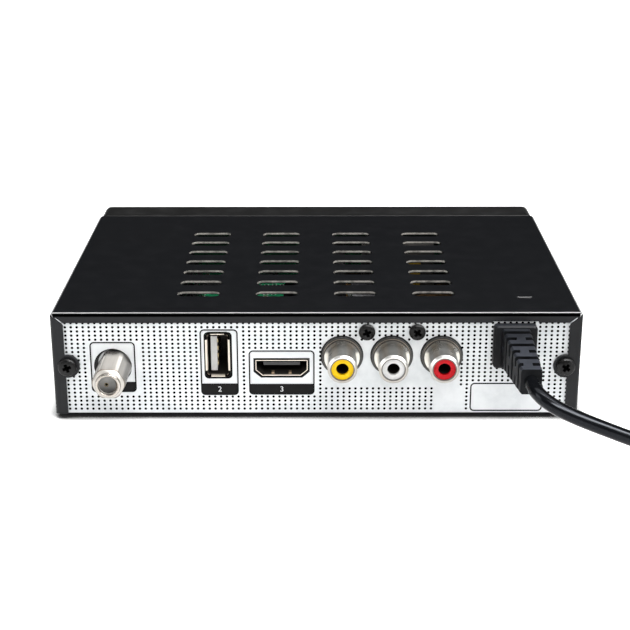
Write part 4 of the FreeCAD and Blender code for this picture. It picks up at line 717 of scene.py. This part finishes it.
# a box with rounded corners as a loop of X and Z, in millimetres
def loop(x0, x1, z0, z1, lowRound, highRound, steps=5):
    points = []
    for cx, cz, radius, start in ((x1, z1, highRound, 0), (x0, z1, highRound, 90),
                                  (x0, z0, lowRound, 180), (x1, z0, lowRound, 270)):
        sx, sz = (-1 if cx == x1 else 1), (-1 if cz == z1 else 1)
        count = steps if radius else 0
        for index in range(count + 1):
            turn = math.radians(start + 90 * (index / count if count else 0))
            points.append((cx + sx * radius + radius * math.cos(turn), cz + sz * radius + radius * math.sin(turn)))
    return points


# faces between two closed rows of as many points
def skin(shape, first, second):
    for index in range(len(first)):
        after = (index + 1) % len(first)
        shape.faces.new((first[index], first[after], second[after], second[index]))


# a flat ring or plate between two heights in Y, from loops of as many points
def slab(shape, outer, inner, low, high):
    rings = []
    for points in [outer] + ([inner] if inner else []):
        rings.append([[shape.verts.new((x * mm, y, z * mm)) for x, z in points] for y in (low, high)])
    pairs = [(ring[0], ring[1]) for ring in rings]
    if inner:
        pairs += [(rings[0][level], rings[1][level]) for level in (0, 1)]
    else:
        for points in rings[0]:
            shape.faces.new(points)
    for first, second in pairs:
        skin(shape, first, second)


def grown(box, by):
    return (box[0] - by, box[1] + by, box[2] - by, box[3] + by)


# the rear panel's print: dots on a grid, kept clear of frames, bare boxes, screws and jacks
printing = {
    "pitch": (1.675, 1.251), "start": (-1.13, 0.22), "columns": (-42, 44), "rows": (2, 25), "dot": 0.405, "proud": 0.03,
    # X from and to, Z from and to, height of the band's top
    "frames": {"1": (51.4, 64.3, 7.9, 23.3, 11.08), "2": (22.2, 33.0, 6.95, 27.1, 10.56),
               "3": (0.5, 19.25, 7.07, 20.7, 10.43)},
    "corner": 1.25, "line": 0.40, "letters": 2.3, "label": (-64.8, -44.0, 1.9, 10.7),
    # boxes without dots; the first is the jacks', whose upper rows keep their dots near the screws
    "bare": [(-39.8, -1.9, 9.9, 24.9), (-41.6, -34.4, 1.9, 9.9), (-64.8, -44.0, 1.9, 10.7)],
    "nearScrew": (2.9, 23.2), "clear": {"jackScrews": 2.6, "jacks": 5.9}, "frameClear": (0.8, 0.45),
}
# black for the printed dots, also used for painted shade round the USB opening and in the aerial contact's hole
inkAndShade = plain("InkAndShadeBlack", shade(0.0015), other=shade(0.003), rough=0.7, metallic=0.8, cloud=400, grain=2500,
               bump=0.002)


def dotted(x, z):
    spec = printing
    for name, clear in spec["clear"].items():
        if any(math.hypot(x - a, z - b) < clear for a, b in ports[name]):
            return False
    beside, above = spec["frameClear"]
    for a, b, c, d, band in spec["frames"].values():
        if a - beside < x < b + beside and c - above < z < d + above:
            return False
    reach, low = spec["nearScrew"]
    kept = any(abs(x - a) < reach and z > low for a, b in ports["jackScrews"])
    return not any(a < x < b and c < z < d for a, b, c, d in spec["bare"][1 if kept else 0:])


def makeNumber(text, x, z, high, material):
    words = bpy.data.curves.new("Number" + text, "FONT")
    words.body = text
    words.size = printing["letters"] * mm
    words.extrude = 0.01 * mm
    words.align_x = words.align_y = "CENTER"
    mesh = frozen(addObject("Number" + text, words))
    mesh.transform(Matrix(((-1, 0, 0, x * mm), (0, 0, 1, high), (0, 1, 0, z * mm), (0, 0, 0, 1))))
    number = addObject("BandNumber" + text, mesh)
    paint(mesh, material)
    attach(number, "case")


def makePrinting():
    spec = printing
    ink = plain("PrintInk", shade(0.005), other=shade(0.008), rough=0.6, cloud=400, grain=2500, bump=0.002,
                specular=0.12)
    pale = plain("PrintPale", shade(0.72, (0.98, 1.0, 1.02)), rough=0.45, grain=2200, bump=0.002)
    base, top = panelY - 0.01 * mm, panelY + spec["proud"] * mm
    shape = bmesh.new()
    lift = Matrix.Rotation(math.radians(-90), 4, "X")
    for column in range(*spec["columns"]):
        for row in range(*spec["rows"]):
            x, z = spec["start"][0] + column * spec["pitch"][0], spec["start"][1] + row * spec["pitch"][1]
            if dotted(x, z):
                bmesh.ops.create_cone(shape, cap_ends=True, segments=8, radius1=spec["dot"] * mm,
                                      radius2=spec["dot"] * 0.9 * mm, depth=top - base,
                                      matrix=Matrix.Translation((x * mm, (top + base) / 2, z * mm)) @ lift)
    makeObject("PanelDots", shape, inkAndShade)
    lines, light = bmesh.new(), bmesh.new()
    r, w = spec["corner"], spec["line"]
    for box in [b[:4] for b in spec["frames"].values()] + [spec["label"]]:
        slab(lines, loop(*box, r, r), loop(*grown(box, -w), r - w, r - w), base, top)
    for a, b, c, d, band in spec["frames"].values():
        slab(lines, loop(a + w, b - w, c + w, band, r - w, 0), None, base, top)
        edge = (a + w + 0.12, b - w - 0.12, band + 0.12, d - w - 0.12)
        inner = loop(*grown(edge, -0.2), 0.4, r - w - 0.15)
        slab(light, loop(*edge, 0.5, r - w), inner, base, top - 0.008 * mm)
    makeObject("PanelFrames", lines, ink)
    makeObject("PanelFrameEdges", light, pale)
    for text, (a, b, c, d, band) in spec["frames"].items():
        makeNumber(text, (a + b) / 2, (c + band) / 2, top + 0.012 * mm, pale)


makePrinting()
print("stage: rear panel printed")


# black rings of painted shade behind the openings, a dark line of painted shade round the USB opening, and
# lips and spring tabs of the ports
def makePorts():
    # black rings behind the openings: painted shade of the gaps round the ports
    gapShade = plain("PortGapShade", shade(0.006), rough=0.6, grain=2000)
    shape = bmesh.new()
    low, high = (panelY - steel - behind * mm for behind in ports["gapShade"])
    usb, hdmi, tabs = ports["usb"], ports["hdmi"], ports["tabs"]
    slab(shape, loop(*usb["out"], 0.6, 0.6), loop(*grown(usb["box"], 0.04), 0.6, 0.6), low, high)
    half, bottom, top = hdmi["width"] / 2 + 0.05, hdmi["low"] - 0.05, hdmi["low"] + hdmi["height"] + 0.05
    narrow, rise = half - hdmi["chamfer"][0], hdmi["chamfer"][1]
    mouth = [(half, top), (-half, top), (-half, bottom + rise), (-narrow, bottom), (narrow, bottom),
             (half, bottom + rise)]
    a, b, c, d = hdmi["out"]
    around = [(b, d), (a, d), (a, c + rise), (a + 2, c), (b - 2, c), (b, c + rise)]
    slab(shape, around, [(hdmi["x"] + x, z) for x, z in mouth], low, high)
    x, z = aerial["at"]
    turns = [math.radians(a) for a in range(0, 360, 10)]
    rings = [[(x + r * math.cos(turn), z + r * math.sin(turn)) for turn in turns] for r in ports["aerialGapShade"]]
    slab(shape, *rings, low, high)
    makeObject("PortGapShades", shape, gapShade)
    # a dark line of painted shade round the USB opening
    shape = bmesh.new()
    outer, inner = usb["mouth"]
    slab(shape, loop(*outer), loop(*inner), panelY - 0.01 * mm, panelY + 0.03 * mm)
    makeObject("PortMouthShade", shape, inkAndShade)

    gold = plain("PortLip", shade(0.80, (1.0, 0.90, 0.77)), other=shade(0.70, (1.0, 0.9, 0.76)), rough=0.35,
                 metallic=0.5, grain=2200, bump=0.003, scratch=0.3)
    shape = bmesh.new()
    x0, x1, z0, z1 = usb["box"]
    t, out = usb["lip"]
    middleX, middleZ = (x0 + x1) / 2, (z0 + z1) / 2
    for wide, tall, x, z, dx, dz in ((3.9, t, middleX, z1, 0, 1), (3.9, t, middleX, z0, 0, -1),
                                     (2 * t, 9.3, x0, middleZ, -1, 0), (2 * t, 9.3, x1, middleZ, 1, 0)):
        corners = []
        for y, push in ((panelY - 0.6 * mm, -0.30), (panelY + out * mm, -0.10)):
            for sx, sz in ((-1, -1), (1, -1), (1, 1), (-1, 1)):
                across, up = x + dx * push + sx * wide / 2, z + dz * push + sz * tall / 2
                corners.append(shape.verts.new((across * mm, y, up * mm)))
        for face in ((0, 1, 2, 3), (4, 5, 6, 7), (0, 1, 5, 4), (1, 2, 6, 5), (2, 3, 7, 6), (3, 0, 4, 7)):
            shape.faces.new([corners[i] for i in face])
    makeObject("PortLips", shape, gold)
    shape = bmesh.new()
    slab(shape, loop(*grown(usb["box"], -0.04), 1.0, 1.0, 1), loop(*grown(usb["box"], -0.15), 0.95, 0.95, 1),
         panelY - 0.5 * mm, panelY - 0.02 * mm)
    same = dict(metallic=0.4, grain=2200, bump=0.003)
    makeObject("PortRing", shape, plain("PortRim", shade(0.20, (1.0, 0.80, 0.60)), **same))
    shape = bmesh.new()
    for x in tabs["at"]:
        place = Matrix.Translation((x * mm, panelY - tabs["behind"] * mm, tabs["z"] * mm))
        bmesh.ops.create_cube(shape, size=1.0, matrix=place @ Matrix.Diagonal((*(v * mm for v in tabs["size"]), 1)))
    makeObject("PortTabs", shape, plain("PortTab", shade(0.30, (1.0, 0.72, 0.46)), **same))


makePorts()


# slivers of painted light in the rear rim's two mitre gaps: X and Z, ahead of the panel and behind the rim
litMitres = {"outline": [(70.75, 28.6), (71.15, 28.6), (73.35, 30.75), (73.2, 30.85)], "from": 0.2, "to": 0.08}


def makeLitMitres():
    # pale slivers standing in for the lit panel seen through the gaps: painted light
    silver = plain("MitreLight", shade(0.92, (0.97, 1.0, 1.03)), metallic=0.15, grain=2000, bump=0.003)
    shape = bmesh.new()
    for side in (-1, 1):
        points = [(side * x, z) for x, z in litMitres["outline"]]
        slab(shape, points, None, panelY + litMitres["from"] * mm, rearY - litMitres["to"] * mm)
    makeObject("MitreLights", shape, silver)


makeLitMitres()


def aerialLook():
    spec = aerial
    look = Finish("AerialNickel", shade(0.26, (1.0, 0.95, 0.885)), shade(0.20, (1.0, 0.945, 0.875)), rough=0.28,
                  spread=0.04, metallic=0.7, cloud=90, grain=2600, bump=0.0005, scratch=0.08)
    across, up = (minus(look.axis(name), middle * mm) for name, middle in zip("XZ", spec["at"]))
    out = minus(look.axis("Y"), rearY)
    turn = calc("ARCTAN2", across, up)
    away = distance(across, up)
    along = span(out, 0.0, 3.5 * mm)
    drawn = span(noise(stretched(look.place, (900, 40, 900)), 1.0, 2.0), 0.3, 0.7, 0.8, 1.0)
    for low, high, soft, level in spec["lights"]:
        band = times(between(turn, low, high, soft), along, drawn)
        look.cover(band, shade(level * 0.94, (1.0, 0.94, 0.865)), 0.3, 0.45)
    turned, groove, bevel, face = ([value * mm for value in spec[k]] for k in ("turned", "groove", "bevel", "face"))
    look.cover(span(out, *turned), shade(0.47, (1.0, 0.945, 0.87)), 0.25, 0.85)
    # painted shade in the groove, a painted highlight on the bevel, painted shade and highlight in rings on the face
    look.cover(within(out, *groove, 0.05 * mm), shade(0.20, (1.0, 0.84, 0.68)), 0.5, 0.3)
    look.cover(within(out, *bevel, 0.04 * mm), shade(0.52, (1.0, 0.95, 0.88)), 0.36, 0.45)
    for low, high, level in spec["rings"]:
        ring = times(within(away, low * mm, high * mm, 0.06 * mm), span(out, *face))
        look.cover(ring, shade(level, (1.0, 0.88, 0.75)), 0.3, 0.8)
    return look.done()


# a six-sided bar with rounded corners and a turned end, and a black cylinder of painted shade in the hole of its
# contact
def makeAerial():
    spec = aerial
    middleX, middleZ = spec["at"]
    shape = bmesh.new()
    rings = []
    for out, radius, six in spec["stations"]:
        ring = []
        for index in range(spec["steps"]):
            turn = 2 * math.pi * index / spec["steps"]
            off = (turn + math.pi / 6) % (math.pi / 3) - math.pi / 6
            hexed = min(spec["flat"] / math.cos(off), spec["corner"])
            r = hexed * six + (radius if radius > 0 else spec["flat"]) * (1 - six) + (radius if radius < 0 else 0)
            x, z = middleX + r * math.cos(turn + math.pi / 2), middleZ + r * math.sin(turn + math.pi / 2)
            ring.append(shape.verts.new((x * mm, rearY + out * mm, z * mm)))
        rings.append(ring)
    for low, high in zip(rings, rings[1:]):
        skin(shape, low, high)
    shape.faces.new(rings[0])
    shape.faces.new(rings[-1])
    barrel = makeObject("AerialBarrel", shape, aerialLook(), smooth=True,
                        replaces=("aerial_connector",))
    barrel.data.polygons[-1].use_smooth = False
    barrel.data.polygons[-2].use_smooth = False
    # a black cylinder of painted shade in the contact's hole
    (x, z), radius, depth, out = spec["hole"]
    place = Matrix.Translation((x * mm, rearY + out * mm, z * mm)) @ Matrix.Rotation(math.radians(-90), 4, "X")
    shape = bmesh.new()
    bmesh.ops.create_cone(shape, cap_ends=True, segments=20, radius1=radius * mm, radius2=radius * mm,
                          depth=depth * mm, matrix=place)
    makeObject("AerialBoreShade", shape, inkAndShade)


makeAerial()


# heads with crossed recesses: seat is how far out of the panel they sit, shank a radius and a length, and
# cross a recess's reach, half width and depth
screws = {
    "panel": {"at": ports["jackScrews"], "radius": 2.35, "height": 1.3, "seat": 0.0, "shank": (1.2, 6.0),
              "cross": (1.4, 0.5, 1.2), "node": "jack_screws"},
    "cover": {"at": [(70.7, 16.1), (-70.7, 16.1)], "radius": 2.65, "height": 1.6, "seat": 0.8, "shank": (1.4, 6.0),
              "cross": (1.4, 0.52, 1.4), "node": "cover_screws"},
}


# turns a profile of radius and distance along +Y, from axis to axis, into a closed shape
def spun(shape, profile, at, segments=40):
    verts = [shape.verts.new((r * mm, y * mm, 0)) for r, y in profile]
    edges = [shape.edges.new(pair) for pair in zip(verts, verts[1:])]
    bmesh.ops.spin(shape, geom=verts + edges, cent=(0, 0, 0), axis=(0, 1, 0), angle=math.radians(360),
                   steps=segments, use_merge=True)
    bmesh.ops.remove_doubles(shape, verts=shape.verts[:], dist=0.000001)
    bmesh.ops.translate(shape, verts=shape.verts[:], vec=Vector(at))


def carved(body, cutters):
    for cutter in cutters:
        change = body.modifiers.new("Carve", "BOOLEAN")
        change.operation = "DIFFERENCE"
        change.object = cutter
        change.solver = "EXACT"
    mesh = frozen(body)
    for cutter in cutters:
        bpy.data.objects.remove(cutter)
    return mesh


domeSteps = 9


def domeShare(tilt):
    return 0.45 + 0.55 * math.cos(tilt) ** 0.8


def makeScrews():
    black = plain("ScrewBlack", shade(0.006, (1.05, 1.0, 0.98)), other=shade(0.009), rough=0.3, spread=0.1, cloud=400,
                  grain=2500, bump=0.002, scratch=0.15, scratchColour=shade(0.03), specular=0.22)
    # painted shade in the crossed recesses
    recessShade = plain("ScrewRecessShade", shade(0.001), rough=0.8, metallic=0.9, cloud=400, grain=2500, bump=0.002)
    for name, spec in screws.items():
        merged = bmesh.new()
        radius, height, (shank, length) = spec["radius"], spec["height"], spec["shank"]
        reach, wide, deep = spec["cross"]
        seat = panelY / mm + spec["seat"]
        for index, (x, z) in enumerate(spec["at"]):
            tilts = [math.pi / 2 * k / domeSteps for k in range(1, domeSteps)]
            profile = [(0, height)] + [(radius * math.sin(tilt), height * domeShare(tilt)) for tilt in tilts]
            profile += [(radius, height * 0.42), (radius, 0.0), (shank, 0.0), (shank, -length), (0, -length)]
            head = bmesh.new()
            spun(head, profile, (x * mm, seat * mm, z * mm))
            cutters = []
            for turn in (20 + 35 * index, 110 + 35 * index):
                cutter = bmesh.new()
                spin = Matrix.Rotation(math.radians(turn), 4, "Y")
                place = Matrix.Translation((x * mm, (seat + height - deep / 2 + 0.3) * mm, z * mm))
                size = Matrix.Diagonal((2 * reach * mm, (deep + 0.6) * mm, 2 * wide * mm, 1))
                made = bmesh.ops.create_cube(cutter, size=1.0, matrix=place @ spin @ size)
                for vert in made["verts"]:
                    if vert.co.y < (seat + height - deep / 2) * mm:
                        middle = Vector((x * mm, vert.co.y, z * mm))
                        vert.co = middle + (vert.co - middle) * 0.7
                cutters.append(makeObject("Cross", cutter, body=None))
            mesh = carved(makeObject("Head", head, body=None), cutters)
            # the recess gets its own darker look: painted shade
            for face in mesh.polygons:
                out = math.hypot(face.center.x / mm - x, face.center.z / mm - z)
                if out < reach * 1.1:
                    crown = seat + height * domeShare(math.asin(min(1, out / radius)))
                    face.material_index = 1 if face.center.y / mm < crown - 0.1 else 0
            merged.from_mesh(mesh)
            bpy.data.meshes.remove(mesh)
        made = makeObject(name.capitalize() + "Screws", merged, black, replaces=(spec["node"],))
        made.data.materials.append(recessShade)


makeScrews()
print("stage: ports and screws made")
